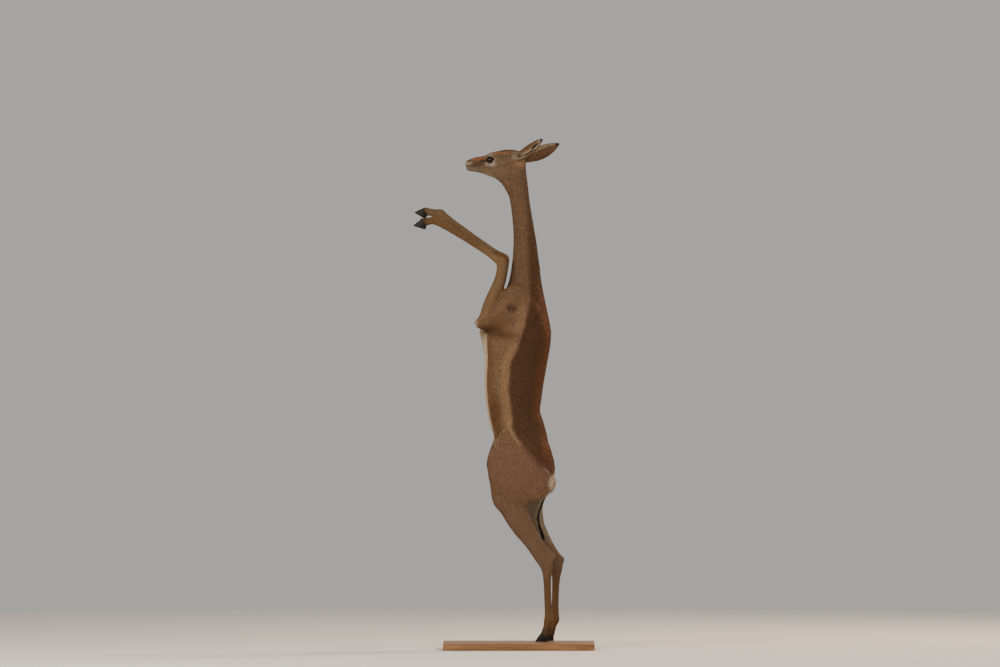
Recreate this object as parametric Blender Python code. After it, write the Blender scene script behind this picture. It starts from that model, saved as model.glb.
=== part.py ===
"""A female gerenuk that stands upright on its hind legs to browse, life size, on a wooden base.

The animal faces -X, +Z is up and its left side faces -Y. The origin is the middle of the base's underside,
and every length is in metres.
"""

import math

import bmesh
import bpy
import numpy as np
from mathutils import Matrix, Vector

# The base, and the gap that parts one piece from the next.
BASE_LENGTH = 0.62
BASE_WIDTH = 0.40
BASE_HEIGHT = 0.030
BASE_CHAMFER = 0.004
GAP = 0.0003

# Boxes and grid steps of the body, the head, the ears and the tail, and the triangles that each keeps.
BODY_BOX = ((-0.460, -0.130, 0.020), (0.215, 0.130, 1.960))
HEAD_BOX = ((-0.236, -0.062, 1.850), (0.050, 0.062, 2.066))
TAIL_BOX = ((0.050, -0.035, 0.420), (0.170, 0.035, 0.780))
BODY_STEP = 0.0031
HEAD_STEP = 0.0010
EAR_STEP = 0.0010
TAIL_STEP = 0.0016
BODY_TRIANGLES = 6150
HEAD_TRIANGLES = 3900
EAR_TRIANGLES = 540
TAIL_TRIANGLES = 520

# Steps between two stations of a slender and of a wide form, and how a grid is smoothed.
SPAN_STEPS = 3
WIDE_STEPS = 7
FAR = 1.0
TOUCH = 2e-5
DIAGONAL_ROUNDS = 12
SMOOTH_BAND = 5.0
SMOOTH_PASSES = 3

# Side of the body: the left side is -Y.
SIDES = {"left": -1.0, "right": 1.0}

# Trunk and neck from the nape down to the buttocks: x, z, half depth, half width.
TRUNK = (
    (-0.013, 1.982, 0.041, 0.034),
    (-0.010, 1.924, 0.045, 0.035),
    (-0.002, 1.883, 0.042, 0.034),
    (0.008, 1.818, 0.040, 0.033),
    (0.020, 1.727, 0.043, 0.035),
    (0.027, 1.650, 0.049, 0.039),
    (0.028, 1.576, 0.056, 0.046),
    (0.025, 1.502, 0.065, 0.056),
    (0.021, 1.449, 0.080, 0.068),
    (0.011, 1.391, 0.104, 0.079),
    (-0.001, 1.330, 0.127, 0.087),
    (-0.007, 1.268, 0.137, 0.094),
    (-0.011, 1.194, 0.129, 0.100),
    (-0.020, 1.112, 0.122, 0.102),
    (-0.023, 1.043, 0.116, 0.098),
    (-0.021, 0.969, 0.106, 0.087),
    (0.001, 0.899, 0.105, 0.078),
    (0.033, 0.830, 0.090, 0.074),
    (0.062, 0.768, 0.070, 0.066),
    (0.088, 0.718, 0.046, 0.050),
)
# The line of the spine and the front of the chest, in the same order.
SPINE = (
    (0.0720, 1.576, 0.010, 0.010),
    (0.0860, 1.454, 0.013, 0.012),
    (0.1105, 1.334, 0.015, 0.013),
    (0.1170, 1.290, 0.015, 0.013),
    (0.0955, 1.166, 0.014, 0.014),
    (0.0755, 1.020, 0.013, 0.015),
    (0.0700, 0.969, 0.014, 0.016),
    (0.0910, 0.895, 0.016, 0.018),
    (0.1050, 0.821, 0.016, 0.018),
    (0.1180, 0.745, 0.014, 0.015),
)
BRISKET = (
    (-0.058, 1.415, 0.020, 0.030),
    (-0.096, 1.352, 0.026, 0.034),
    (-0.120, 1.298, 0.030, 0.038),
    (-0.118, 1.240, 0.028, 0.038),
)

# Shoulder, from the top of the blade to the elbow: x, y outward, z, half depth, half width.
BLADE = (
    (0.088, 0.046, 1.278, 0.030, 0.022),
    (0.048, 0.060, 1.345, 0.046, 0.027),
    (0.006, 0.068, 1.405, 0.046, 0.029),
    (-0.020, 0.070, 1.452, 0.034, 0.028),
)
TRICEPS = (
    (0.060, 0.064, 1.290, 0.034, 0.024),
    (0.000, 0.074, 1.312, 0.046, 0.030),
    (-0.064, 0.078, 1.333, 0.042, 0.030),
    (-0.118, 0.077, 1.344, 0.032, 0.024),
    (-0.146, 0.076, 1.338, 0.022, 0.018),
)
UPPER_ARM = (
    (-0.018, 0.068, 1.458, 0.034, 0.030),
    (-0.054, 0.075, 1.414, 0.036, 0.031),
    (-0.092, 0.079, 1.378, 0.032, 0.028),
    (-0.126, 0.077, 1.358, 0.027, 0.024),
)
ELBOW_POINT = (
    (-0.136, 0.076, 1.352, 0.024, 0.020),
    (-0.165, 0.074, 1.334, 0.0165, 0.0145),
)

# Joints of the forelegs: x, y outward, z.
FORE_JOINTS = {
    "left": {
        "elbow": (-0.132, 0.076, 1.358),
        "carpus": (-0.069, 0.058, 1.593),
        "fetlock": (-0.338, 0.050, 1.761),
        "coronet": (-0.388, 0.048, 1.750),
        "pitch": 163.0,
    },
    "right": {
        "elbow": (-0.132, 0.076, 1.358),
        "carpus": (-0.062, 0.056, 1.598),
        "fetlock": (-0.320, 0.046, 1.787),
        "coronet": (-0.382, 0.044, 1.795),
        "pitch": 150.0,
    },
}

# Bones and tendons of the foreleg: place 0 to 1, offset to the back of the limb, half depth, half width.
FOREARM = (
    (0.00, 0.000, 0.0290, 0.0250),
    (0.18, 0.000, 0.0300, 0.0270),
    (0.34, -0.003, 0.0275, 0.0250),
    (0.50, -0.008, 0.0255, 0.0225),
    (0.66, -0.012, 0.0230, 0.0195),
    (0.82, -0.010, 0.0215, 0.0190),
    (0.93, -0.006, 0.0215, 0.0205),
    (1.00, -0.003, 0.0220, 0.0215),
)
FORE_CANNON = (
    (0.00, 0.0000, 0.0215, 0.0210),
    (0.08, 0.0000, 0.0195, 0.0195),
    (0.18, -0.0020, 0.0145, 0.0155),
    (0.45, -0.0030, 0.0115, 0.0130),
    (0.75, -0.0025, 0.0115, 0.0130),
    (0.90, -0.0010, 0.0140, 0.0150),
    (1.00, 0.0000, 0.0180, 0.0175),
)
FORE_TENDON = (
    (0.02, 0.0120, 0.0110, 0.0120),
    (0.20, 0.0095, 0.0075, 0.0085),
    (0.50, 0.0090, 0.0068, 0.0075),
    (0.80, 0.0100, 0.0070, 0.0080),
    (0.98, 0.0110, 0.0095, 0.0120),
)
PASTERN = (
    (0.00, 0.000, 0.0180, 0.0175),
    (0.30, 0.000, 0.0155, 0.0165),
    (0.60, 0.000, 0.0150, 0.0170),
    (0.90, 0.000, 0.0175, 0.0190),
    (1.25, 0.000, 0.0185, 0.0195),
)

# Joints of the hind legs: x, y outward, z.
HIND_JOINTS = {
    "left": {
        "stifle": (-0.071, 0.068, 0.616),
        "hock": (0.114, 0.056, 0.352),
        "heel": (0.140, 0.055, 0.384),
        "fetlock": (0.122, 0.060, 0.118),
        "coronet": (0.105, 0.062, 0.060),
        "pitch": 180.0,
    },
    "right": {
        "stifle": (-0.019, 0.068, 0.612),
        "hock": (0.155, 0.056, 0.346),
        "heel": (0.178, 0.055, 0.366),
        "fetlock": (0.147, 0.060, 0.118),
        "coronet": (0.130, 0.062, 0.060),
        "pitch": 180.0,
    },
}
# Thigh from the hip down to the stifle: x, y outward, z, half depth, half width.
THIGH = {
    "left": (
        (0.034, 0.042, 0.842, 0.090, 0.036),
        (0.008, 0.050, 0.782, 0.127, 0.043),
        (-0.001, 0.055, 0.728, 0.134, 0.046),
        (-0.026, 0.060, 0.682, 0.110, 0.044),
        (-0.050, 0.065, 0.640, 0.072, 0.040),
        (-0.064, 0.068, 0.606, 0.043, 0.034),
    ),
    "right": (
        (0.036, 0.042, 0.842, 0.088, 0.036),
        (0.026, 0.050, 0.782, 0.118, 0.043),
        (0.018, 0.055, 0.728, 0.122, 0.046),
        (0.006, 0.060, 0.682, 0.106, 0.044),
        (-0.004, 0.065, 0.640, 0.076, 0.040),
        (-0.012, 0.068, 0.604, 0.048, 0.034),
    ),
}
# The fold of skin from the flank to the thigh, the back of the thigh, and the buttock, in the same order.
FLANK_FOLD = (
    (-0.056, 0.044, 0.950, 0.021, 0.016),
    (-0.068, 0.047, 0.890, 0.021, 0.015),
    (-0.082, 0.050, 0.830, 0.019, 0.013),
    (-0.095, 0.054, 0.775, 0.016, 0.012),
    (-0.098, 0.056, 0.720, 0.013, 0.011),
)
HAMSTRING = {
    "left": (
        (0.108, 0.044, 0.690, 0.026, 0.024),
        (0.080, 0.052, 0.655, 0.028, 0.028),
        (0.030, 0.060, 0.620, 0.030, 0.030),
    ),
    "right": (
        (0.110, 0.044, 0.690, 0.026, 0.024),
        (0.088, 0.050, 0.645, 0.029, 0.026),
        (0.073, 0.056, 0.595, 0.028, 0.024),
        (0.076, 0.058, 0.540, 0.020, 0.018),
    ),
}
BUTTOCK = (
    (0.082, 0.036, 0.800, 0.040, 0.030),
    (0.108, 0.040, 0.735, 0.034, 0.030),
    (0.112, 0.042, 0.672, 0.026, 0.026),
)
# Bones and tendons of the hind leg, as those of the foreleg, and where the heel cord meets the calf.
SHANK = (
    (0.00, 0.015, 0.041, 0.034),
    (0.15, 0.017, 0.050, 0.039),
    (0.30, 0.012, 0.050, 0.037),
    (0.48, 0.006, 0.043, 0.031),
    (0.65, 0.003, 0.033, 0.025),
    (0.80, -0.002, 0.028, 0.0205),
    (0.92, -0.004, 0.0265, 0.0195),
    (1.00, -0.004, 0.0255, 0.0205),
)
HEEL_BONE = ((0.0, 0.0, 0.0195, 0.0165), (0.6, 0.0, 0.0150, 0.0130), (1.0, 0.0, 0.0115, 0.0105))
HEEL_CORD = ((0.0, 0.0, 0.0095, 0.0085), (0.4, 0.0, 0.0080, 0.0070), (1.0, 0.0, 0.0130, 0.0110))
CALF_PLACE = 0.52
CALF_SHIFT = (0.024, 0.0, 0.018)
HIND_CANNON = (
    (0.00, 0.000, 0.0235, 0.0195),
    (0.10, 0.000, 0.0220, 0.0180),
    (0.24, -0.002, 0.0150, 0.0150),
    (0.48, -0.003, 0.0120, 0.0130),
    (0.76, -0.003, 0.0120, 0.0130),
    (0.90, -0.001, 0.0145, 0.0150),
    (1.00, 0.000, 0.0185, 0.0178),
)
HIND_TENDON = (
    (0.04, 0.0150, 0.0120, 0.0120),
    (0.24, 0.0105, 0.0080, 0.0088),
    (0.55, 0.0095, 0.0068, 0.0075),
    (0.82, 0.0105, 0.0070, 0.0080),
    (0.98, 0.0120, 0.0100, 0.0120),
)

# Tail, from the rump down: x, y, z, radius.
TAIL = (
    (0.108, 0.000, 0.738, 0.016),
    (0.128, 0.000, 0.712, 0.0145),
    (0.136, -0.001, 0.686, 0.0120),
    (0.126, -0.002, 0.650, 0.0070),
    (0.104, -0.002, 0.613, 0.0042),
    (0.087, -0.001, 0.576, 0.0036),
    (0.079, 0.000, 0.543, 0.0036),
    (0.083, 0.001, 0.512, 0.0046),
    (0.094, 0.001, 0.480, 0.0070),
    (0.102, 0.001, 0.452, 0.0040),
)

TAIL_CUT = ((0.085, 0.0, 0.572), (-0.25, 0.0, -1.0), 0.030)

# Tuft at the end of the tail: locks between two places along it, each from root to tip.
TUFT_SEED = 7
TUFT_LOCKS = 16
TUFT_START = 0.66
TUFT_END = 0.97
TUFT_TURN = 2.4
TUFT_STRAY = 0.3
TUFT_LENGTHS = (0.036, 0.052)
TUFT_SPREAD = 0.0075
TUFT_LOCK = (
    (0.00, 0.0030, 0.0022),
    (0.35, 0.0042, 0.0024),
    (0.75, 0.0030, 0.0017),
    (1.00, 0.0010, 0.0010),
)

# Head, from the nose to the poll: x, z, half height, half width.
FACE = (
    (-0.2080, 1.9925, 0.0118, 0.0135),
    (-0.1935, 1.9950, 0.0162, 0.0170),
    (-0.1750, 1.9975, 0.0205, 0.0182),
    (-0.1546, 1.9985, 0.0225, 0.0200),
    (-0.1300, 1.9990, 0.0270, 0.0260),
    (-0.1054, 2.0025, 0.0342, 0.0340),
    (-0.0767, 2.0040, 0.0395, 0.0365),
    (-0.0439, 2.0050, 0.0440, 0.0370),
    (-0.0152, 2.0045, 0.0415, 0.0350),
    (-0.0020, 2.0000, 0.0340, 0.0290),
)
JAW = (
    (-0.2055, 1.9682, 0.0070, 0.0095),
    (-0.1900, 1.9675, 0.0090, 0.0120),
    (-0.1700, 1.9680, 0.0115, 0.0138),
    (-0.1470, 1.9660, 0.0155, 0.0165),
    (-0.1200, 1.9620, 0.0210, 0.0210),
    (-0.0920, 1.9570, 0.0260, 0.0260),
    (-0.0660, 1.9520, 0.0300, 0.0300),
    (-0.0400, 1.9480, 0.0330, 0.0320),
)
# Between the jaws, behind the line of the mouth.
MOUTH_FILL = (
    (-0.2080, 1.9790, 0.0065, 0.0085),
    (-0.1950, 1.9790, 0.0070, 0.0125),
    (-0.1700, 1.9790, 0.0085, 0.0148),
    (-0.1450, 1.9790, 0.0105, 0.0175),
    (-0.1200, 1.9785, 0.0130, 0.0222),
    (-0.0900, 1.9780, 0.0150, 0.0275),
)
# On each side of the head: x, y outward, z, half depth, half width.
CHEEK = ((-0.090, 0.022, 1.972, 0.022, 0.012), (-0.052, 0.023, 1.957, 0.026, 0.013))
BROW = (
    (-0.1330, 0.0255, 2.0195, 0.0045, 0.0045),
    (-0.1160, 0.0305, 2.0245, 0.0052, 0.0052),
    (-0.0950, 0.0310, 2.0215, 0.0048, 0.0048),
    (-0.0750, 0.0290, 2.0150, 0.0035, 0.0035),
)
CHEEKBONE = (
    (-0.1340, 0.0215, 1.9900, 0.0060, 0.0060),
    (-0.1060, 0.0315, 1.9870, 0.0065, 0.0060),
    (-0.0700, 0.0345, 1.9930, 0.0060, 0.0055),
    (-0.0400, 0.0340, 1.9990, 0.0060, 0.0050),
)
EAR_BUTT = ((-0.022, 0.018, 2.006, 0.017, 0.017), (-0.012, 0.026, 2.011, 0.0090, 0.0090))
THROAT = ((-0.050, 0.0, 1.930, 0.026, 0.026), (-0.026, 0.0, 1.895, 0.024, 0.024))
MUZZLE_PAD = ((-0.2120, 0.0055, 1.9940, 0.0075, 0.0075), (-0.2000, 0.0095, 1.9950, 0.0090, 0.0075))
UPPER_LIP = (
    (-0.2115, 0.0050, 1.9840, 0.0052, 0.0052),
    (-0.1960, 0.0125, 1.9838, 0.0052, 0.0042),
    (-0.1760, 0.0148, 1.9838, 0.0045, 0.0032),
    (-0.1580, 0.0150, 1.9838, 0.0022, 0.0018),
)
LOWER_LIP = (
    (-0.2095, 0.0035, 1.9745, 0.0048, 0.0052),
    (-0.1950, 0.0100, 1.9745, 0.0048, 0.0042),
    (-0.1760, 0.0125, 1.9752, 0.0042, 0.0032),
    (-0.1580, 0.0130, 1.9755, 0.0022, 0.0018),
)
MOUTH_HEIGHT = 1.9790
MOUTH_ENDS = (-0.2180, -0.1690)
MOUTH_RADIUS = 0.0013
MOUTH_SECTIONS = 12
MOUTH_BOW = 0.002
MOUTH_REACH = 0.030
LIP_BULGE = 0.003
NOSTRIL = (
    (-0.2090, 0.0095, 1.9950, 0.0018, 0.0018),
    (-0.2035, 0.0135, 1.9985, 0.0030, 0.0030),
    (-0.1960, 0.0160, 1.9995, 0.0020, 0.0020),
)

# Eyes: centre, radius, the way that they look, and the half angles of the slit between the lids.
EYE_CENTRE = (-0.1145, 0.0310, 2.0055)
EYE_RADIUS = 0.0170
EYE_LOOK = (-0.26, 0.96, 0.06)
LID_THICKNESS = 0.0028
SLIT_LENGTH = math.radians(58)
SLIT_HEIGHT = math.radians(41)
SLIT_TILT = math.radians(12)
SLIT_SLOPE = 0.45
SLIT_FLOOR = 0.70
SLIT_MARGIN = 0.006

# Ears: root and tip, the way that the cup faces, and how far the middle bows backwards and sags.
EARS = {
    "left": {
        "root": (-0.022, -0.026, 2.011),
        "tip": (0.096, -0.128, 2.088),
        "facing": (-0.73, -0.50, 0.42),
        "bow": 0.006,
        "sag": 0.002,
    },
    "right": {
        "root": (-0.006, 0.032, 2.008),
        "tip": (0.165, 0.050, 2.074),
        "facing": (-0.30, 1.00, -0.10),
        "bow": 0.010,
        "sag": 0.008,
    },
}
# Along an ear: place, half width, half depth.
EAR_SHELL = (
    (0.00, 0.0150, 0.0145),
    (0.10, 0.0165, 0.0155),
    (0.17, 0.0190, 0.0160),
    (0.26, 0.0224, 0.0160),
    (0.45, 0.0275, 0.0150),
    (0.65, 0.0265, 0.0124),
    (0.82, 0.0195, 0.0090),
    (0.94, 0.0100, 0.0054),
    (1.00, 0.0030, 0.0024),
)
EAR_WALL = 0.0028
EAR_GAP = 0.0008
EAR_CUP_SHIFT = 0.0070
EAR_CUP_ENDS = (0.17, 0.94)
EAR_CUP_ROOT = (0.0100, 0.0095)
EAR_CUP_LEAST = 0.0021
EAR_MARGIN = 0.034
EAR_SPAN_STEPS = 4
EAR_WIDEST = 4

# Hoof of one toe, seen from the side with the sole down: lengths along the sole and heights.
TOE_REACH = 0.031
HEEL_REACH = 0.023
CORONET_FRONT = (0.006, 0.036)
CORONET_BACK = (-0.022, 0.018)
CLAW_WIDTH = 0.0155
CLEFT = 0.0022
CLAW_RINGS = 5
CLAW_SIDES = 16
CLAW_SWELL = 0.10
CLAW_ARCH = 0.0022
CLAW_POINT = 0.55
CLAW_POINT_RISE = 0.40
CLAW_ROUNDNESS = 0.75
CLAW_TURN_IN = 0.0022

# Thin cuts that part the flesh: middle, direction across the cut, half size of the cut.
TRUNK_CUTS = (
    ((-0.002, 0.0, 1.884), (0.16, 0.0, -1.0), 0.075),
    ((0.022, 0.0, 1.705), (0.10, 0.0, -1.0), 0.075),
    ((0.028, 0.0, 1.540), (0.0, 0.0, -1.0), 0.073),
    ((-0.008, 0.0, 1.215), (0.0, 0.0, -1.0), 0.200),
    ((-0.010, 0.0, 0.925), (0.0, 0.0, -1.0), 0.200),
    ((0.016, 0.0, 0.766), (0.6259, 0.0, 0.7799), 0.200),
)
CROTCH_SIZE = 0.230

# Cuts across the legs: limb, the joints of the bone, the place along it, how far it is moved, half size.
LEG_CUTS = (
    ("fore", "elbow", "carpus", 0.66, (0.0, 0.0, 0.0), 0.034),
    ("fore", "carpus", "fetlock", 0.13, (0.0, 0.0, 0.0), 0.034),
    ("fore", "carpus", "fetlock", 0.90, (0.0, 0.0, 0.0), 0.034),
    ("hind", "stifle", "hock", 0.42, (0.006, 0.0, 0.004), 0.062),
    ("hind", "hock", "fetlock", 0.27, (0.0, 0.0, 0.0), 0.034),
    ("hind", "hock", "fetlock", 0.90, (0.0, 0.0, 0.0), 0.034),
)
CORONET_CUT_SIZE = 0.034

# A point in each piece of flesh, and its material. Those of the legs lie on a bone, at this place along it.
TRUNK_SEEDS = {
    "neck_upper": ((0.020, 0.0, 1.790), "coat_tan"),
    "neck_lower": ((0.070, 0.0, 1.620), "coat_tan"),
    "torso_chest": ((0.115, 0.0, 1.330), "coat_tan"),
    "torso_belly": ((0.095, 0.0, 1.070), "coat_brown"),
    "pelvis": ((0.120, 0.0, 0.840), "coat_tan"),
    "thigh_left": ((-0.115, -0.060, 0.700), "coat_tan"),
    "thigh_right": ((-0.070, 0.066, 0.640), "coat_tan"),
}
LEG_SEEDS = {
    "forearm": ("fore", "elbow", "carpus", 0.75),
    "fore_cannon": ("fore", "carpus", "fetlock", 0.50),
    "fore_foot": ("fore", "fetlock", "coronet", 0.40),
    "shank": ("hind", "stifle", "hock", 0.80),
    "hind_cannon": ("hind", "hock", "fetlock", 0.55),
    "hind_foot": ("hind", "fetlock", "coronet", 0.40),
}
HEAD_SEED = ((-0.150, 0.0, 2.020), "coat_head")
TAIL_SEEDS = {
    "tail": ((0.110, 0.0, 0.620), "coat_tan"),
    "tail_tuft": ((0.094, 0.0, 0.480), "tail_hair"),
}

# Materials: base colour in linear light, roughness and clear coat.
MATERIALS = {
    "coat_tan": ((0.42, 0.23, 0.12), 0.75, 0.0),
    "coat_brown": ((0.17, 0.075, 0.035), 0.75, 0.0),
    "coat_head": ((0.42, 0.25, 0.14), 0.75, 0.0),
    "coat_ear": ((0.38, 0.24, 0.15), 0.75, 0.0),
    "tail_hair": ((0.02, 0.016, 0.014), 0.70, 0.0),
    "hoof_horn": ((0.03, 0.025, 0.022), 0.40, 0.0),
    "eye_gloss": ((0.012, 0.009, 0.008), 0.05, 1.0),
    "base_wood": ((0.30, 0.18, 0.09), 0.45, 0.0),
}


class Field:
    """Distances to a surface on a regular grid, below zero inside."""

    def __init__(self, low, high, step):
        self.low = np.array(low, float)
        self.step = step
        self.shape = tuple(int(math.ceil((b - a) / step)) + 1 for a, b in zip(low, high))
        self.values = np.full(self.shape, FAR, np.float32)

    def window(self, low, high):
        first = np.floor((np.asarray(low) - self.low) / self.step).astype(int)
        last = np.ceil((np.asarray(high) - self.low) / self.step).astype(int) + 1
        first = np.clip(first, 0, self.shape)
        last = np.clip(last, first, self.shape)
        return tuple(slice(int(a), int(b)) for a, b in zip(first, last))

    def axes(self, window):
        grids = []
        for i in range(3):
            line = self.low[i] + self.step * np.arange(window[i].start, window[i].stop)
            form = [1, 1, 1]
            form[i] = -1
            grids.append(line.reshape(form).astype(np.float32))
        return grids

    def chain(self, stations, side, margin, power, lean):
        """The distance to a chain of stations near it, and the window that holds it."""
        reach = np.array([max(s[3], s[4]) + margin for s in stations])
        places = np.array([s[:3] for s in stations])
        window = self.window((places - reach[:, None]).min(axis=0), (places + reach[:, None]).max(axis=0))
        origin = [w.start for w in window]
        near = np.full([w.stop - w.start for w in window], FAR, np.float32)
        for one, other in zip(stations[:-1], stations[1:]):
            low = np.minimum(one[:3], other[:3]) - max(one[3], one[4], other[3], other[4]) - margin
            high = np.maximum(one[:3], other[:3]) + max(one[3], one[4], other[3], other[4]) + margin
            inner = tuple(
                slice(max(w.start, whole.start), min(w.stop, whole.stop))
                for w, whole in zip(self.window(low, high), window)
            )
            if any(w.stop <= w.start for w in inner):
                continue
            found = segment_distance(self.axes(inner), one, other, side, power, lean)
            local = tuple(slice(w.start - o, w.stop - o) for w, o in zip(inner, origin))
            np.minimum(near[local], found, out=near[local])
        return near, window

    def add(self, stations, blend, side=(0.0, 1.0, 0.0), power=2.0, lean=0.0):
        near, window = self.chain(stations, side, blend + 3 * self.step, power, lean)
        self.values[window] = smooth_least(self.values[window], near, blend)

    def carve(self, stations, blend, side=(0.0, 1.0, 0.0), power=2.0, lean=0.0):
        near, window = self.chain(stations, side, blend + 3 * self.step, power, lean)
        self.values[window] = -smooth_least(-self.values[window], near, blend)

    def edge_along(self, start, direction, length):
        """How far from start the surface lies in this direction."""
        steps = np.linspace(0.0, length, 200)
        places = np.asarray(start)[None, :] + steps[:, None] * np.asarray(direction)[None, :]
        index = np.rint((places - self.low) / self.step).astype(int)
        index = np.clip(index, 0, np.array(self.shape) - 1)
        outside = self.values[index[:, 0], index[:, 1], index[:, 2]] > 0
        return float(steps[np.argmax(outside)]) if outside.any() else length

    def smooth(self, passes):
        """Averages each value with its neighbours near the surface, which rounds off small ledges."""
        values = np.clip(self.values, -SMOOTH_BAND * self.step, SMOOTH_BAND * self.step)
        for _ in range(passes):
            for axis in range(3):
                lower, inner, upper = ([slice(None)] * 3 for _ in range(3))
                lower[axis], inner[axis], upper[axis] = slice(0, -2), slice(1, -1), slice(2, None)
                mean = values[tuple(lower)] + 2 * values[tuple(inner)] + values[tuple(upper)]
                values[tuple(inner)] = mean / 4
        self.values = values

    def join_diagonals(self):
        """Fills a corner wherever only the two corners on a diagonal of a grid square are inside."""
        values = self.values
        for _ in range(DIAGONAL_ROUNDS):
            filled = 0
            for one, two in ((0, 1), (0, 2), (1, 2)):
                views = {}
                for a in (0, 1):
                    for b in (0, 1):
                        cut = [slice(None)] * 3
                        cut[one] = slice(a, values.shape[one] - 1 + a)
                        cut[two] = slice(b, values.shape[two] - 1 + b)
                        views[a, b] = values[tuple(cut)]
                near, far = views[0, 0] < 0, views[1, 1] < 0
                left, right = views[0, 1] < 0, views[1, 0] < 0
                first = near & far & ~left & ~right
                second = left & right & ~near & ~far
                views[0, 1][first] = -TOUCH
                views[0, 0][second] = -TOUCH
                filled += int(first.sum() + second.sum())
            if not filled:
                return

    def surface(self):
        """Points and four-cornered faces where the values pass zero."""
        values = self.values
        values[0], values[-1] = FAR, FAR
        values[:, 0], values[:, -1] = FAR, FAR
        values[:, :, 0], values[:, :, -1] = FAR, FAR
        self.join_diagonals()
        inside = values < 0
        corners = [(i, j, k) for i in (0, 1) for j in (0, 1) for k in (0, 1)]
        size = [n - 1 for n in values.shape]
        count = np.zeros(size, np.int8)
        for i, j, k in corners:
            count += inside[i:i + size[0], j:j + size[1], k:k + size[2]]
        active = (count > 0) & (count < 8)
        cells = np.argwhere(active)
        index = np.full(active.shape, -1, np.int64)
        index[active] = np.arange(len(cells))
        at = [values[cells[:, 0] + i, cells[:, 1] + j, cells[:, 2] + k] for i, j, k in corners]
        total = np.zeros((len(cells), 3))
        number = np.zeros(len(cells))
        for a, first in enumerate(corners):
            for b in range(a + 1, 8):
                step = np.subtract(corners[b], first)
                if np.abs(step).sum() != 1:
                    continue
                crossed = np.flatnonzero((at[a] < 0) != (at[b] < 0))
                share = at[a][crossed] / (at[a][crossed] - at[b][crossed])
                total[crossed] += np.array(first) + share[:, None] * step
                number[crossed] += 1
        points = self.low + self.step * (cells + total / number[:, None])
        faces = []
        for axis in range(3):
            one, two = (axis + 1) % 3, (axis + 2) % 3
            lower = [slice(None)] * 3
            upper = [slice(None)] * 3
            lower[axis], upper[axis] = slice(0, -1), slice(1, None)
            start = inside[tuple(lower)]
            changed = np.argwhere(start != inside[tuple(upper)])
            leaving = start[tuple(changed.T)]
            shift_one, shift_two = np.eye(3, dtype=int)[one], np.eye(3, dtype=int)[two]
            ring = [changed, changed - shift_one, changed - shift_one - shift_two, changed - shift_two]
            quads = np.stack([index[tuple(cell.T)] for cell in ring], axis=1)
            quads[~leaving] = quads[~leaving][:, ::-1]
            faces.append(quads)
        return points, np.concatenate(faces)


def smooth_least(first, second, blend):
    """The smaller of two distances, with the corner between them rounded over this width."""
    overlap = np.maximum(blend - np.abs(first - second), 0.0) / blend
    return np.minimum(first, second) - overlap * overlap * blend / 4


def segment_distance(axes, one, other, side, power, lean):
    """Distance to a limb piece between two stations with oval sections."""
    start, end = np.array(one[:3]), np.array(other[:3])
    length = max(float(np.linalg.norm(end - start)), 1e-6)
    along_unit = (end - start) / length
    across = np.array(side) - np.dot(side, along_unit) * along_unit
    across /= np.linalg.norm(across)
    normal = np.cross(along_unit, across)

    def project(unit):
        return sum(np.float32(unit[i]) * (axes[i] - np.float32(start[i])) for i in range(3))

    along = project(along_unit)
    place = np.clip(along / np.float32(length), 0.0, 1.0)
    over = along - place * np.float32(length)
    depth_way = project(normal)
    width_way = project(across)
    depth = np.float32(one[3]) + place * np.float32(other[3] - one[3])
    width = np.float32(one[4]) + place * np.float32(other[4] - one[4])
    cap = np.minimum(depth, width)
    if lean:
        width = width * (1.0 + lean * np.clip(depth_way / depth, -1.0, 1.0))
    parts = (depth_way / depth, width_way / width, over / cap)
    if power == 2.0:
        level = np.sqrt(parts[0] ** 2 + parts[1] ** 2 + parts[2] ** 2)
    else:
        level = sum(np.abs(part) ** power for part in parts) ** (1.0 / power)
    distance = np.sqrt(depth_way ** 2 + width_way ** 2 + over ** 2)
    return distance - distance / np.maximum(level, 1e-5)


def smooth_stations(stations, steps=SPAN_STEPS):
    """More stations between these, on a smooth curve through them."""
    rows = np.array(stations, float)
    rows = np.vstack([2 * rows[0] - rows[1], rows, 2 * rows[-1] - rows[-2]])
    out = []
    for i in range(1, len(rows) - 2):
        a, b, c, d = rows[i - 1:i + 3]
        for j in range(steps):
            t = j / steps
            out.append(0.5 * (2 * b + (c - a) * t + (2 * a - 5 * b + 4 * c - d) * t * t
                              + (3 * b - a - 3 * c + d) * t ** 3))
    out.append(rows[-2])
    return [tuple(row) for row in out]


def middle(rows, steps=SPAN_STEPS):
    """Stations on the middle plane, from x, z, half depth, half width."""
    return smooth_stations([(x, 0.0, z, depth, width) for x, z, depth, width in rows], steps)


def beside(rows, sign, steps=SPAN_STEPS):
    """Stations on one side, from x, y outward, z, half depth, half width."""
    return smooth_stations([(x, sign * y, z, depth, width) for x, y, z, depth, width in rows], steps)


def along_bone(start, end, rows, sign):
    """Stations along a bone, from place, offset to the back of the limb, half depth, half width."""
    start = np.array([start[0], sign * start[1], start[2]])
    end = np.array([end[0], sign * end[1], end[2]])
    axis = (end - start) / np.linalg.norm(end - start)
    back = np.cross(axis, (0.0, 1.0, 0.0))
    back /= np.linalg.norm(back)
    stations = []
    for place, offset, depth, width in rows:
        centre = start + place * (end - start) + offset * back
        stations.append((*centre, depth, width))
    return smooth_stations(stations)


def joints_of(limb, name):
    """The joints of the left or right leg of a pair."""
    return {"fore": FORE_JOINTS, "hind": HIND_JOINTS}[limb][name]


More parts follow.
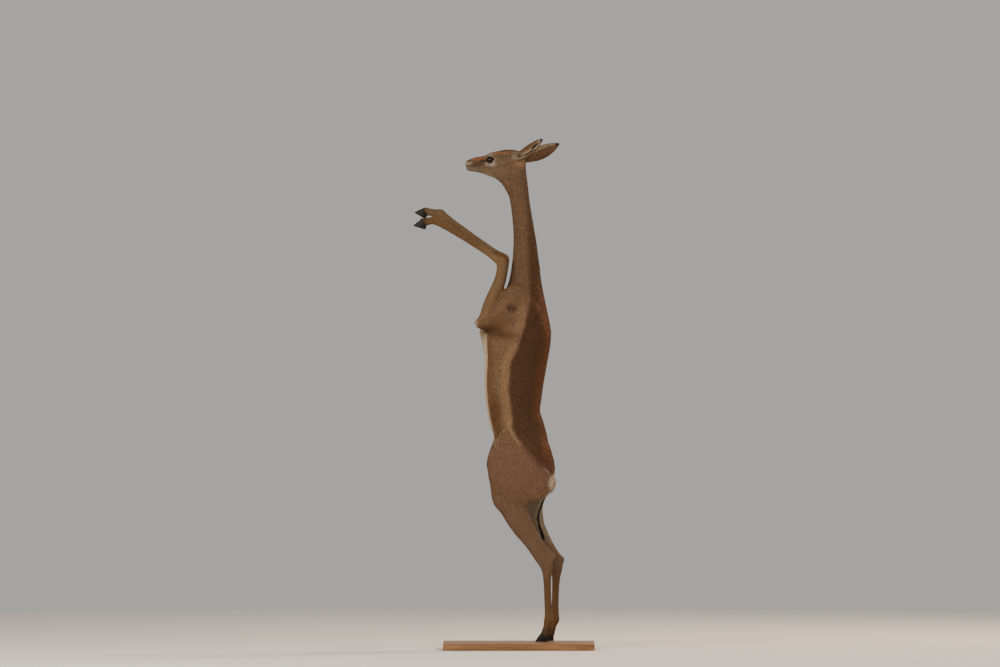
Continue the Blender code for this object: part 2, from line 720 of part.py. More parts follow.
def add_body(field):
    """Neck, trunk, shoulders, haunches and legs."""
    field.add(middle(TRUNK, WIDE_STEPS), 0.020, power=2.15)
    field.add(middle(SPINE), 0.014)
    field.add(middle(BRISKET), 0.016)
    for name, sign in SIDES.items():
        fore = FORE_JOINTS[name]
        hind = HIND_JOINTS[name]
        field.add(beside(BLADE, sign), 0.034)
        field.add(beside(TRICEPS, sign), 0.030)
        field.add(beside(UPPER_ARM, sign), 0.026)
        field.add(beside(THIGH[name], sign, WIDE_STEPS), 0.034)
        field.add(beside(BUTTOCK, sign), 0.030)
        field.add(beside(FLANK_FOLD, sign), 0.040)
        field.add(beside(HAMSTRING[name], sign), 0.022)
        field.add(beside(ELBOW_POINT, sign), 0.018)
        field.add(along_bone(fore["elbow"], fore["carpus"], FOREARM, sign), 0.006)
        field.add(along_bone(fore["carpus"], fore["fetlock"], FORE_CANNON, sign), 0.008)
        field.add(along_bone(fore["carpus"], fore["fetlock"], FORE_TENDON, sign), 0.006)
        field.add(along_bone(fore["fetlock"], fore["coronet"], PASTERN, sign), 0.008)
        field.add(along_bone(hind["stifle"], hind["hock"], SHANK, sign), 0.022)
        field.add(along_bone(hind["hock"], hind["heel"], HEEL_BONE, sign), 0.012)
        calf = np.array(hind["stifle"]) + CALF_PLACE * (np.array(hind["hock"]) - np.array(hind["stifle"]))
        calf += np.array(CALF_SHIFT)
        field.add(along_bone(hind["heel"], calf, HEEL_CORD, sign), 0.012)
        field.add(along_bone(hind["hock"], hind["fetlock"], HIND_CANNON, sign), 0.008)
        field.add(along_bone(hind["hock"], hind["fetlock"], HIND_TENDON, sign), 0.006)
        field.add(along_bone(hind["fetlock"], hind["coronet"], PASTERN, sign), 0.008)


def add_head(field):
    """Skull, jaws, cheeks, brows and the stumps of the ears."""
    field.add(middle(FACE), 0.014, power=2.2)
    field.add(middle(JAW), 0.010)
    field.add(middle(MOUTH_FILL), 0.008)
    for sign in SIDES.values():
        field.add(beside(CHEEK, sign), 0.016)
        field.add(beside(CHEEKBONE, sign), 0.016)
        field.add(beside(BROW, sign), 0.016)
        field.add(beside(EAR_BUTT, sign), 0.014)
    field.add(smooth_stations(THROAT), 0.026)


def head_field(low, high, step):
    """The head and the top of the neck on a grid of their own."""
    field = Field(low, high, step)
    field.add(middle(TRUNK, WIDE_STEPS), 0.020, power=2.15)
    add_head(field)
    return field


def add_face_detail(field):
    """Muzzle, lips, the line of the mouth, nostrils, and lids with the slit between them."""
    for sign in SIDES.values():
        field.add(beside(MUZZLE_PAD, sign), 0.006)
        field.add(beside(UPPER_LIP, sign), 0.005)
        field.add(beside(LOWER_LIP, sign), 0.005)
        centre = (EYE_CENTRE[0], sign * EYE_CENTRE[1], EYE_CENTRE[2])
        lid = EYE_RADIUS + LID_THICKNESS
        ball = [(*centre, lid, lid), (centre[0] + 1e-4, centre[1], centre[2], lid, lid)]
        field.add(ball, 0.007)
        carve_slit(field, centre, sign)
        field.carve(beside(NOSTRIL, sign), 0.0012)
    front, back = MOUTH_ENDS
    groove = [(front - LIP_BULGE, 0.0, MOUTH_HEIGHT, MOUTH_RADIUS, MOUTH_RADIUS)]
    for place in np.linspace(0.0, 1.0, MOUTH_SECTIONS):
        x = front + place * (back - front)
        half = field.edge_along((x, 0.0, MOUTH_HEIGHT), (0.0, 1.0, 0.0), MOUTH_REACH)
        bowed = MOUTH_HEIGHT + MOUTH_BOW * math.sin(math.pi * place)
        groove.append((x, half, bowed, MOUTH_RADIUS, MOUTH_RADIUS))
    for sign in SIDES.values():
        line = [(x, sign * y, z, depth, width) for x, y, z, depth, width in groove]
        field.carve(line, 0.0015)


def eye_axes(sign):
    """The way an eye looks, and the directions along and across the slit."""
    look = np.array((EYE_LOOK[0], sign * EYE_LOOK[1], EYE_LOOK[2]))
    look /= np.linalg.norm(look)
    forward = np.array((-math.cos(SLIT_TILT), 0.0, -math.sin(SLIT_TILT)))
    forward -= forward.dot(look) * look
    forward /= np.linalg.norm(forward)
    up = np.cross(look, forward) * sign
    return look, forward, up if up[2] > 0 else -up


def carve_slit(field, centre, sign):
    """Opens the lids over the eyeball, down to the middle of the ball."""
    look, forward, up = eye_axes(sign)
    reach = EYE_RADIUS + LID_THICKNESS + SLIT_MARGIN
    window = field.window(np.array(centre) - reach, np.array(centre) + reach)
    axes = [line - c for line, c in zip(field.axes(window), centre)]
    ahead = sum(axis * part for axis, part in zip(axes, look))
    length = sum(axis * part for axis, part in zip(axes, forward))
    height = sum(axis * part for axis, part in zip(axes, up))
    radius = np.sqrt(ahead ** 2 + length ** 2 + height ** 2)
    turn = np.arctan2(length, np.maximum(ahead, 1e-6)) / SLIT_LENGTH
    lift = np.arctan2(height, np.maximum(ahead, 1e-6)) / SLIT_HEIGHT
    opening = (turn ** 2 + np.abs(lift) ** 1.5 - 1.0) * EYE_RADIUS * SLIT_SLOPE
    opening = np.maximum(opening, np.maximum(SLIT_FLOOR * EYE_RADIUS - radius, 0.002 - ahead))
    field.values[window] = -smooth_least(-field.values[window], opening.astype(np.float32), 0.0012)


def object_of(name, points, faces, material):
    """An object at the origin with this surface and material."""
    mesh = bpy.data.meshes.new(name)
    faces = faces.tolist() if isinstance(faces, np.ndarray) else faces
    mesh.from_pydata(np.asarray(points).tolist(), [], faces)
    obj = bpy.data.objects.new(name, mesh)
    obj.data.materials.append(material)
    bpy.context.scene.collection.objects.link(obj)
    return obj


def applied(obj):
    """The object with its modifiers made part of its mesh."""
    bpy.context.view_layer.update()
    graph = bpy.context.evaluated_depsgraph_get()
    mesh = bpy.data.meshes.new_from_object(obj.evaluated_get(graph))
    old = obj.data
    obj.modifiers.clear()
    obj.data = mesh
    bpy.data.meshes.remove(old)
    return obj


def thinned(obj, triangles):
    """The object with about this many triangles."""
    mesh = obj.data
    mesh.calc_loop_triangles()
    now = len(mesh.loop_triangles)
    thin = obj.modifiers.new("thin", "DECIMATE")
    thin.ratio = min(1.0, triangles / now)
    thin.use_collapse_triangulate = True
    return applied(obj)


def cut_away(obj, cutter):
    """The object less the cutter, which is removed."""
    step = obj.modifiers.new("cut", "BOOLEAN")
    step.operation = "DIFFERENCE"
    step.solver = "EXACT"
    step.object = cutter
    applied(obj)
    bpy.data.objects.remove(cutter)
    return obj


def slab(name, place, across, size, thickness, material, along=None):
    """A thin square plate across this direction, its edges along a second one where that is given."""
    turn = Vector(across).normalized().to_track_quat("Z", "Y").to_matrix().to_4x4()
    if along is not None:
        first, third = Vector(along).normalized(), Vector(across).normalized()
        turn = Matrix((first, third.cross(first), third)).transposed().to_4x4()
    shape = bmesh.new()
    scale = Matrix.Diagonal((2 * size, 2 * size, thickness, 1.0))
    bmesh.ops.create_cube(shape, size=1.0, matrix=Matrix.Translation(place) @ turn @ scale)
    mesh = bpy.data.meshes.new(name)
    shape.to_mesh(mesh)
    shape.free()
    obj = bpy.data.objects.new(name, mesh)
    obj.data.materials.append(material)
    bpy.context.scene.collection.objects.link(obj)
    return obj


def islands(obj):
    """The separate closed surfaces of an object as points and faces, the largest first."""
    mesh = obj.data
    points = np.array([v.co[:] for v in mesh.vertices])
    label = np.arange(len(points))
    edges = np.array([e.vertices[:] for e in mesh.edges])
    while True:
        least = np.minimum(label[edges[:, 0]], label[edges[:, 1]])
        after = label.copy()
        np.minimum.at(after, edges[:, 0], least)
        np.minimum.at(after, edges[:, 1], least)
        after = after[after]
        if (after == label).all():
            break
        label = after
    pieces = {}
    for polygon in mesh.polygons:
        pieces.setdefault(int(label[polygon.vertices[0]]), []).append(tuple(polygon.vertices))
    found = []
    for faces in pieces.values():
        used = sorted({v for face in faces for v in face})
        new = {v: i for i, v in enumerate(used)}
        found.append((points[used], [tuple(new[v] for v in face) for face in faces]))
    return sorted(found, key=lambda piece: -len(piece[0]))


def name_pieces(obj, seeds, materials):
    """Makes each seeded piece an object of its own, and drops the rest."""
    pieces = islands(obj)
    bpy.data.objects.remove(obj)
    made = {}
    for name, (place, slot) in seeds.items():
        nearest = [float(np.linalg.norm(points - np.array(place), axis=1).min()) for points, _ in pieces]
        chosen = int(np.argmin(nearest))
        points, faces = pieces.pop(chosen)
        made[name] = object_of(name, points, faces, materials[slot])
    return made


def swollen(obj, amount):
    """A copy with its surface moved outward by this amount."""
    mesh = obj.data.copy()
    for vertex, normal in zip(mesh.vertices, [Vector(v.normal) for v in mesh.vertices]):
        vertex.co += normal * amount
    copy = bpy.data.objects.new(obj.name + "_cutter", mesh)
    bpy.context.scene.collection.objects.link(copy)
    return copy


def largest(obj):
    """The object with only its largest closed surface."""
    points, faces = islands(obj)[0]
    name = obj.name
    material = obj.data.materials[0]
    bpy.data.objects.remove(obj)
    return object_of(name, points, faces, material)


def ball(name, centre, radius, material, segments=20, rings=12):
    """A round ball."""
    shape = bmesh.new()
    bmesh.ops.create_uvsphere(
        shape, u_segments=segments, v_segments=rings, radius=radius, matrix=Matrix.Translation(centre)
    )
    mesh = bpy.data.meshes.new(name)
    shape.to_mesh(mesh)
    shape.free()
    obj = bpy.data.objects.new(name, mesh)
    obj.data.materials.append(material)
    bpy.context.scene.collection.objects.link(obj)
    return obj


def bone_point(joints, first, second, place, sign):
    """A point on a bone at this place from 0 to 1, and the direction of the bone."""
    one, two = np.array(joints[first]), np.array(joints[second])
    point = one + place * (two - one)
    across = (two - one) * (1.0, sign, 1.0)
    return (point[0], sign * point[1], point[2]), tuple(across)


def foot_frame(joints, sign):
    """Origin on the sole, forward and upward directions of a foot, from its coronet."""
    angle = math.radians(joints["pitch"])
    forward = np.array((math.cos(angle), 0.0, math.sin(angle)))
    up = np.array((math.sin(angle), 0.0, -math.cos(angle)))
    centre = np.array((joints["coronet"][0], sign * joints["coronet"][1], joints["coronet"][2]))
    front, back = np.array(CORONET_FRONT), np.array(CORONET_BACK)
    level = (front + back) / 2
    return centre - level[0] * forward - level[1] * up, forward, up


def coronet_cut(joints, sign):
    """Middle of the cut above a hoof, and the direction across it."""
    origin, forward, up = foot_frame(joints, sign)
    front, back = np.array(CORONET_FRONT), np.array(CORONET_BACK)
    level = (front + back) / 2
    slope = (front - back) / np.linalg.norm(front - back)
    across = -slope[1] * forward + slope[0] * up
    return origin + level[0] * forward + level[1] * up + across * GAP / 2, across


def claw(name, joints, sign, side, material):
    """The horn of one toe: rings from the sole up to the slanting coronet."""
    origin, forward, up = foot_frame(joints, sign)
    outward = np.array((0.0, side, 0.0))
    points = []
    for ring in range(CLAW_RINGS):
        level = ring / (CLAW_RINGS - 1)
        arch = math.sin(math.pi * level)
        front = np.array((TOE_REACH, 0.0)) * (1 - level) + np.array(CORONET_FRONT) * level
        front[0] += CLAW_ARCH * arch
        back = np.array((-HEEL_REACH, 0.0)) * (1 - level) + np.array(CORONET_BACK) * level
        swell = 1.0 + CLAW_SWELL * arch
        for i in range(CLAW_SIDES):
            turn = 2 * math.pi * i / CLAW_SIDES
            place = 0.5 + 0.5 * math.cos(turn)
            here = back + (front - back) * place
            taper = 1.0 - CLAW_POINT * place ** 3 * (1.0 - CLAW_POINT_RISE * level)
            half = CLAW_WIDTH / 2 * swell * taper * abs(math.sin(turn)) ** CLAW_ROUNDNESS
            bulge = half if math.sin(turn) > 0 else -min(half, CLAW_WIDTH / 2)
            across = CLEFT / 2 + CLAW_WIDTH / 2 + bulge
            across -= CLAW_TURN_IN * place ** 2 * (1.0 - level)
            point = origin + here[0] * forward + here[1] * up + max(across, CLEFT / 2) * outward
            points.append(point)
    faces = []
    for ring in range(CLAW_RINGS - 1):
        for i in range(CLAW_SIDES):
            j = (i + 1) % CLAW_SIDES
            low, high = ring * CLAW_SIDES, (ring + 1) * CLAW_SIDES
            faces.append((low + i, low + j, high + j, high + i))
    faces.append(tuple(range(CLAW_SIDES))[::-1])
    faces.append(tuple(range((CLAW_RINGS - 1) * CLAW_SIDES, CLAW_RINGS * CLAW_SIDES)))
    obj = object_of(name, points, faces, material)
    return face_outward(obj)


def add_locks(field, tail):
    """Flat tapering locks of long hair round the end of the tail, pointing down it."""
    chance = np.random.default_rng(TUFT_SEED)
    centres = np.array([station[:3] for station in tail])
    for i in range(TUFT_LOCKS):
        share = TUFT_START + (TUFT_END - TUFT_START) * i / (TUFT_LOCKS - 1)
        root = centres[int(share * (len(centres) - 1))]
        after = centres[min(int(share * (len(centres) - 1)) + 2, len(centres) - 1)]
        way = (after - root) / max(np.linalg.norm(after - root), 1e-6)
        turn = i * TUFT_TURN + chance.uniform(-TUFT_STRAY, TUFT_STRAY)
        out = np.array((math.cos(turn), math.sin(turn), 0.0))
        length = chance.uniform(*TUFT_LENGTHS)
        lock = []
        for place, half_width, half_depth in TUFT_LOCK:
            centre = root + way * length * place + out * TUFT_SPREAD * math.sin(0.5 * math.pi * place)
            lock.append((*centre, half_depth, half_width))
        across = np.cross(way, out)
        field.add(smooth_stations(lock), 0.0015, side=tuple(across / np.linalg.norm(across)))


def face_outward(obj):
    """The object with every face turned outward."""
    shape = bmesh.new()
    shape.from_mesh(obj.data)
    bmesh.ops.recalc_face_normals(shape, faces=shape.faces)
    shape.to_mesh(obj.data)
    shape.free()
    return obj


def ear(name, shape, material):
    """One ear as a cupped shell, its root seated just off the head."""
    root, tip = np.array(shape["root"]), np.array(shape["tip"])
    axis = (tip - root) / np.linalg.norm(tip - root)
    facing = np.array(shape["facing"])
    facing -= facing.dot(axis) * axis
    facing /= np.linalg.norm(facing)
    side = np.cross(facing, axis)
    flip = 1.0 if np.dot(np.cross(axis, side), facing) > 0 else -1.0
    side *= flip
    low, high = np.minimum(root, tip) - EAR_MARGIN, np.maximum(root, tip) + EAR_MARGIN
    field = Field(low, high, EAR_STEP)

    def centre(place, shift):
        arch = math.sin(math.pi * place)
        drop = np.array((0.0, 0.0, shape["sag"] * arch))
        return root + place * (tip - root) - facing * (shape["bow"] * arch - shift) - drop

    shell = [(*centre(place, 0.0), depth, width) for place, width, depth in EAR_SHELL]
    field.add(smooth_stations(shell, EAR_SPAN_STEPS), 0.002, side=tuple(side))
    cup = [(*centre(EAR_CUP_ENDS[0], EAR_CUP_SHIFT), *EAR_CUP_ROOT)]
    for place, width, depth in EAR_SHELL:
        if EAR_CUP_ENDS[0] < place <= EAR_CUP_ENDS[1]:
            shift = EAR_CUP_SHIFT * min(1.0, depth / EAR_SHELL[EAR_WIDEST][2])
            hollow = max(depth + shift - EAR_WALL, EAR_CUP_LEAST)
            cup.append((*centre(place, shift), hollow, max(width - EAR_WALL, EAR_CUP_LEAST)))
    field.carve(smooth_stations(cup, EAR_SPAN_STEPS), 0.0012, side=tuple(side))
    skull = head_field(low, high, EAR_STEP)
    np.maximum(field.values, EAR_GAP - skull.values, out=field.values)
    points, faces = field.surface()
    return largest(thinned(object_of(name, points, faces, material), EAR_TRIANGLES))


def make_material(name):
    """The Principled material of this slot."""
    colour, roughness, clear = MATERIALS[name]
    made = bpy.data.materials.new(name)
    made.use_nodes = True
    shader = made.node_tree.nodes["Principled BSDF"]
    shader.inputs["Base Color"].default_value = (*colour, 1.0)
    shader.inputs["Roughness"].default_value = roughness
    shader.inputs["Coat Weight"].default_value = clear
    return made


def leg_plates(material):
    """Thin plates that part the legs where their pieces meet."""
    plates = []
    for name, sign in SIDES.items():
        for limb, first, second, along, shift, size in LEG_CUTS:
            place, across = bone_point(joints_of(limb, name), first, second, along, sign)
            moved = np.array(place) + shift
            plates.append(slab(f"plate_{limb}_{first}_{name}", moved, across, size, GAP, material))
        for limb in ("fore", "hind"):
            place, across = coronet_cut(joints_of(limb, name), sign)
            plates.append(slab(f"plate_{limb}_{name}", place, across, CORONET_CUT_SIZE, GAP, material))
    return plates


def build_flesh(slots):
    """Neck, trunk and legs as one surface, parted into named pieces."""
    field = Field(*BODY_BOX, BODY_STEP)
    add_body(field)
    add_head(field)
    field.smooth(SMOOTH_PASSES)
    tan = slots["coat_tan"]
    flesh = thinned(object_of("flesh", *field.surface(), tan), BODY_TRIANGLES)
    plates = [slab(f"plate_{i}", *cut, GAP, tan) for i, cut in enumerate(TRUNK_CUTS)]
    plates += leg_plates(tan)
    place, down, _ = TRUNK_CUTS[-1]
    centre = np.array(place) - CROTCH_SIZE * np.array(down)
    plates.append(slab("plate_crotch", centre, (0.0, 1.0, 0.0), CROTCH_SIZE, GAP, tan, along=down))
    for plate in plates:
        cut_away(flesh, plate)
    seeds = dict(TRUNK_SEEDS)
    for name, sign in SIDES.items():
        for piece, (limb, first, second, along) in LEG_SEEDS.items():
            seed, _ = bone_point(joints_of(limb, name), first, second, along, sign)
            seeds[f"{piece}_{name}"] = (seed, "coat_tan")
    return name_pieces(flesh, seeds, slots)


def build_head(slots):
    """The head with its features, and the eyes in their sockets."""
    field = head_field(*HEAD_BOX, HEAD_STEP)
    add_face_detail(field)
    fur = slots["coat_head"]
    head = thinned(object_of("head", *field.surface(), fur), HEAD_TRIANGLES)
    cut_away(head, slab("plate", *TRUNK_CUTS[0], GAP, fur))
    for name, sign in SIDES.items():
        centre = (EYE_CENTRE[0], sign * EYE_CENTRE[1], EYE_CENTRE[2])
        cut_away(head, ball("socket", centre, EYE_RADIUS + GAP, fur))
        ball("eye_" + name, centre, EYE_RADIUS, slots["eye_gloss"])
    name_pieces(head, {"head": HEAD_SEED}, slots)


def build_tail(slots, pelvis):
    """The tail off the rump, and the tuft of long hair at its end."""
    field = Field(*TAIL_BOX, TAIL_STEP)
    tail = smooth_stations([(x, y, z, radius, radius) for x, y, z, radius in TAIL])
    field.add(tail, 0.004)
    add_locks(field, tail)
    whole = thinned(object_of("tail_whole", *field.surface(), slots["coat_tan"]), TAIL_TRIANGLES)
    cut_away(whole, swollen(pelvis, 2 * GAP))
    cut_away(whole, slab("plate", *TAIL_CUT, GAP, slots["tail_hair"]))
    name_pieces(whole, TAIL_SEEDS, slots)


def build_hooves(horn):
    """Two claws on each foot."""
    for limb in ("fore", "hind"):
        for name, sign in SIDES.items():
            for toe, side in (("outer", sign), ("inner", -sign)):
                claw(f"{limb}_hoof_{name}_{toe}", joints_of(limb, name), sign, side, horn)


def build_base(wood):
    """The wooden base with chamfered edges."""
    shape = bmesh.new()
    scale = Matrix.Diagonal((BASE_LENGTH, BASE_WIDTH, BASE_HEIGHT, 1.0))
    bmesh.ops.create_cube(shape, size=1.0, matrix=Matrix.Translation((0.0, 0.0, BASE_HEIGHT / 2)) @ scale)
    mesh = bpy.data.meshes.new("stand_base")
    shape.to_mesh(mesh)
    shape.free()
    base = bpy.data.objects.new("stand_base", mesh)
    base.data.materials.append(wood)
    bpy.context.scene.collection.objects.link(base)
    chamfer = base.modifiers.new("chamfer", "BEVEL")
    chamfer.width = BASE_CHAMFER
    chamfer.segments = 1
    applied(base)


def main():
    for obj in list(bpy.data.objects):
        bpy.data.objects.remove(obj)
    slots = {name: make_material(name) for name in MATERIALS}
    flesh = build_flesh(slots)
    build_head(slots)
    for name, shape in EARS.items():
        ear("ear_" + name, shape, slots["coat_ear"])
    build_tail(slots, flesh["pelvis"])
    build_hooves(slots["hoof_horn"])
    build_base(slots["base_wood"])


main()
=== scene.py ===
"""Looks of a life-size gerenuk that stands upright on its hind legs to browse, on a wooden base.

One skin closes the pieces of the body, short hair lies over it in tufts, and the eyes, hooves, tail hair and
base follow the same frame. The animal faces -X, +Z is up, its left side faces -Y and lengths are in metres.
"""

import logging
import math
from dataclasses import dataclass, field
from enum import Enum

import bmesh
import bpy
import numpy as np
from mathutils import Matrix, Vector
from mathutils.bvhtree import BVHTree


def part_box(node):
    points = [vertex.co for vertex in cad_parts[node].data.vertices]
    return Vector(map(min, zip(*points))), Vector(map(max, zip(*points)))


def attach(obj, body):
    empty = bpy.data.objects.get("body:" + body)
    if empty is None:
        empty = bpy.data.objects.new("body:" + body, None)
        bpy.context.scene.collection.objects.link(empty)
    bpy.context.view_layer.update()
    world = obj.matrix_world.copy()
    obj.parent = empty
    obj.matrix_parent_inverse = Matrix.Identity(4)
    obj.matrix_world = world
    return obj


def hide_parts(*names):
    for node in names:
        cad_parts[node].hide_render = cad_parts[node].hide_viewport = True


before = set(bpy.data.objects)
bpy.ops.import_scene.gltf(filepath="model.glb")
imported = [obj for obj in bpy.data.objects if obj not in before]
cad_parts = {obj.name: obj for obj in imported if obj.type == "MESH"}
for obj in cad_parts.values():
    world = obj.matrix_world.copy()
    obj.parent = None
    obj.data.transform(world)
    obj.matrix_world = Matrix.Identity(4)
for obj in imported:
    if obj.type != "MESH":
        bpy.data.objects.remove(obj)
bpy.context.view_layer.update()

BODY = "root"
MARKINGS = "markings"
LIE = "lie"
COAT_UV = "OFBake"
SIDES = (-1.0, 1.0)
# The first factor smooths a surface, the second gives back its size.
RELAX_FACTORS = (0.5, -0.53)
LOG = logging.getLogger("gerenuk")

Array = np.ndarray


# Small mathematics shared by the pieces.


def linear(hex_colour: str) -> Array:
    """Turns an sRGB colour of six hexadecimal digits into three linear values."""
    values = np.array([int(hex_colour[i:i + 2], 16) / 255 for i in (0, 2, 4)])
    return np.where(values <= 0.04045, values / 12.92, ((values + 0.055) / 1.055) ** 2.4)


def step_between(low: float | Array, high: float | Array, values: Array) -> Array:
    """A smooth step from 0 at low to 1 at high, falling where low is above high."""
    share = np.clip((values - low) / (high - low), 0.0, 1.0)
    return share * share * (3 - 2 * share)


def curve(rows: tuple[tuple[float, float], ...], places: Array) -> Array:
    """Reads values off a line through rows of a place and a value."""
    return np.interp(places, *zip(*sorted(rows)))


def unit(vectors: Array) -> Array:
    """Scales one vector, or rows of vectors, to length one."""
    return vectors / np.maximum(np.linalg.norm(vectors, axis=-1, keepdims=True), 1e-12)


def one_side(points: Array) -> Array:
    """Brings points of both sides of the body to one side, with y outward."""
    return points * (1.0, 0.0, 1.0) + np.abs(points) * (0.0, 1.0, 0.0)


def line_distance(points: Array, line: Array) -> tuple[Array, Array]:
    """Distance from points to a line of straight pieces, and how far along it the nearest place is.

    Args:
        points: rows of coordinates.
        line: the corners of the line, in as many dimensions.

    Returns:
        The distances, and the places along the line from 0 to 1.
    """
    lengths = np.linalg.norm(np.diff(line, axis=0), axis=1)
    before = np.concatenate(([0.0], np.cumsum(lengths)))
    nearest = np.full(len(points), np.inf)
    place = np.zeros(len(points))
    for start, end, length, offset in zip(line[:-1], line[1:], lengths, before):
        way = (end - start) / length
        along = np.clip((points - start) @ way, 0.0, length)
        gap = np.linalg.norm(points - start - along[:, None] * way, axis=1)
        closer = gap < nearest
        nearest[closer] = gap[closer]
        place[closer] = (offset + along[closer]) / before[-1]
    return nearest, place


# Finishes.


def add_node(tree: bpy.types.NodeTree, kind: str, settings: dict | None = None,
             links: dict | None = None) -> bpy.types.Node:
    """Adds a shader node with its settings and links.

    Args:
        tree: the node tree that gets the node.
        kind: the node's type name.
        settings: attributes of the node, or input names with their values.
        links: input names with the output sockets that feed them.

    Returns:
        The new node.
    """
    node = tree.nodes.new(kind)
    for name, value in (settings or {}).items():
        if name in node.inputs:
            node.inputs[name].default_value = value
        else:
            setattr(node, name, value)
    for name, socket in (links or {}).items():
        tree.links.new(socket, node.inputs[name])
    return node


class Finish:
    """A material that is made once and used by the pieces that wear it.

    Attributes:
        name: the material's name.
        inputs: inputs of its Principled shader with their values.
    """

    name = "finish"
    inputs: dict[str, float | tuple[float, ...]] = {}

    def __init__(self) -> None:
        """Starts with no material made."""
        self.made: bpy.types.Material | None = None

    def material(self) -> bpy.types.Material:
        """Makes the material at the first call.

        Returns:
            The material.
        """
        if self.made is None:
            self.made = bpy.data.materials.new(self.name)
            self.made.use_nodes = True
            tree = self.made.node_tree
            shader = tree.nodes["Principled BSDF"]
            for name, value in self.inputs.items():
                shader.inputs[name].default_value = value
            self.build(tree, shader)
        return self.made

    def build(self, tree: bpy.types.NodeTree, shader: bpy.types.Node) -> None:
        """Adds the nodes of this finish, where it has any."""


class Hide(Finish):
    """Short hair lying on skin: the markings, broken by fine streaks along the lie of the hair."""

    name = "short_hair"
    inputs = {"Roughness": 0.70, "Specular IOR Level": 0.18}

    def build(self, tree: bpy.types.NodeTree, shader: bpy.types.Node) -> None:
        """Adds the markings, the streaks and their bump.

        Args:
            tree: the material's node tree.
            shader: its Principled shader.
        """
        colour = add_node(tree, "ShaderNodeAttribute", {"attribute_name": MARKINGS})
        lie = add_node(tree, "ShaderNodeAttribute", {"attribute_name": LIE})
        streaks = add_node(tree, "ShaderNodeMapping", {"Scale": (900.0, 900.0, 110.0)},
                           {"Vector": lie.outputs["Vector"]})
        hair = add_node(tree, "ShaderNodeTexNoise", {"Scale": 1.0, "Detail": 2.0, "Roughness": 0.6},
                        {"Vector": streaks.outputs["Vector"]})
        place = add_node(tree, "ShaderNodeTexCoord")
        blotch = add_node(tree, "ShaderNodeTexNoise", {"Scale": 26.0, "Detail": 4.0, "Roughness": 0.6},
                          {"Vector": place.outputs["Object"]})
        shade = add_node(tree, "ShaderNodeMapRange", {"To Min": 0.80, "To Max": 1.16},
                         {"Value": hair.outputs["Fac"]})
        broad = add_node(tree, "ShaderNodeMapRange", {"To Min": 0.90, "To Max": 1.08},
                         {"Value": blotch.outputs["Fac"]})
        both = add_node(tree, "ShaderNodeMath", {"operation": "MULTIPLY"})
        tree.links.new(shade.outputs["Result"], both.inputs[0])
        tree.links.new(broad.outputs["Result"], both.inputs[1])
        tinted = add_node(tree, "ShaderNodeVectorMath", {"operation": "SCALE"},
                          {"Scale": both.outputs["Value"]})
        tree.links.new(colour.outputs["Color"], tinted.inputs[0])
        tree.links.new(tinted.outputs["Vector"], shader.inputs["Base Color"])
        bump = add_node(tree, "ShaderNodeBump", {"Strength": 0.55, "Distance": 0.0012},
                        {"Height": hair.outputs["Fac"]})
        tree.links.new(bump.outputs["Normal"], shader.inputs["Normal"])


class Painted(Finish):
    """A finish that takes its colour from the markings."""

    def build(self, tree: bpy.types.NodeTree, shader: bpy.types.Node) -> None:
        """Adds the markings."""
        colour = add_node(tree, "ShaderNodeAttribute", {"attribute_name": MARKINGS})
        tree.links.new(colour.outputs["Color"], shader.inputs["Base Color"])


class Hair(Painted):
    """Tufts of hair, coloured by the markings at their roots."""

    name = "tuft_hair"
    inputs = {"Roughness": 0.62, "Specular IOR Level": 0.20}


class WetEye(Painted):
    """A dark wet eye: iris and pupil under a clear film."""

    name = "wet_eye"
    inputs = {"Roughness": 0.10, "Specular IOR Level": 0.14, "Coat Weight": 0.22, "Coat Roughness": 0.02}


class Grained(Finish):
    """Two tones mixed by stretched noise, with bump of the same noise.

    Attributes:
        stretch: scale of the grain along x, y and z.
        noise: settings of the noise.
        tones: place on the ramp and sRGB colour of each tone.
        bump: settings of the bump.
    """

    stretch = (1.0, 1.0, 1.0)
    noise: dict = {}
    tones: tuple[tuple[float, str], ...] = ()
    bump: dict = {}

    def build(self, tree: bpy.types.NodeTree, shader: bpy.types.Node) -> None:
        """Adds the tones and the bump.

        Args:
            tree: the material's node tree.
            shader: its Principled shader.
        """
        place = add_node(tree, "ShaderNodeTexCoord")
        grain = add_node(tree, "ShaderNodeMapping", {"Scale": self.stretch},
                         {"Vector": place.outputs["Object"]})
        noise = add_node(tree, "ShaderNodeTexNoise", self.noise, {"Vector": grain.outputs["Vector"]})
        ramp = add_node(tree, "ShaderNodeValToRGB", links={"Fac": noise.outputs["Fac"]})
        for element, (position, tone) in zip(ramp.color_ramp.elements, self.tones):
            element.position = position
            element.color = (*linear(tone), 1.0)
        tree.links.new(ramp.outputs["Color"], shader.inputs["Base Color"])
        bump = add_node(tree, "ShaderNodeBump", self.bump, {"Height": noise.outputs["Fac"]})
        tree.links.new(bump.outputs["Normal"], shader.inputs["Normal"])


class Horn(Grained):
    """Black horn of the hooves with faint growth rings."""

    name = "hoof_horn"
    inputs = {"Roughness": 0.55, "Specular IOR Level": 0.20}
    stretch = (60.0, 60.0, 420.0)
    noise = {"Scale": 1.0, "Detail": 3.0}
    tones = ((0.0, "0d0b0a"), (1.0, "241d19"))
    bump = {"Strength": 0.3, "Distance": 0.0006}


class OiledWood(Grained):
    """Oiled oak with grain along the base."""

    name = "oiled_wood"
    inputs = {"Roughness": 0.42}
    stretch = (2.2, 26.0, 26.0)
    noise = {"Scale": 2.4, "Detail": 8.0, "Roughness": 0.62, "Distortion": 0.5}
    tones = ((0.30, "6a4627"), (0.72, "a67c4e"))
    bump = {"Strength": 0.15, "Distance": 0.0008}


class StudioFloor(Finish):
    """Plain pale painted floor."""

    name = "pale_floor"
    inputs = {"Base Color": (*linear("e6e3de"), 1.0), "Roughness": 0.85}


# Where each part of the body lies.


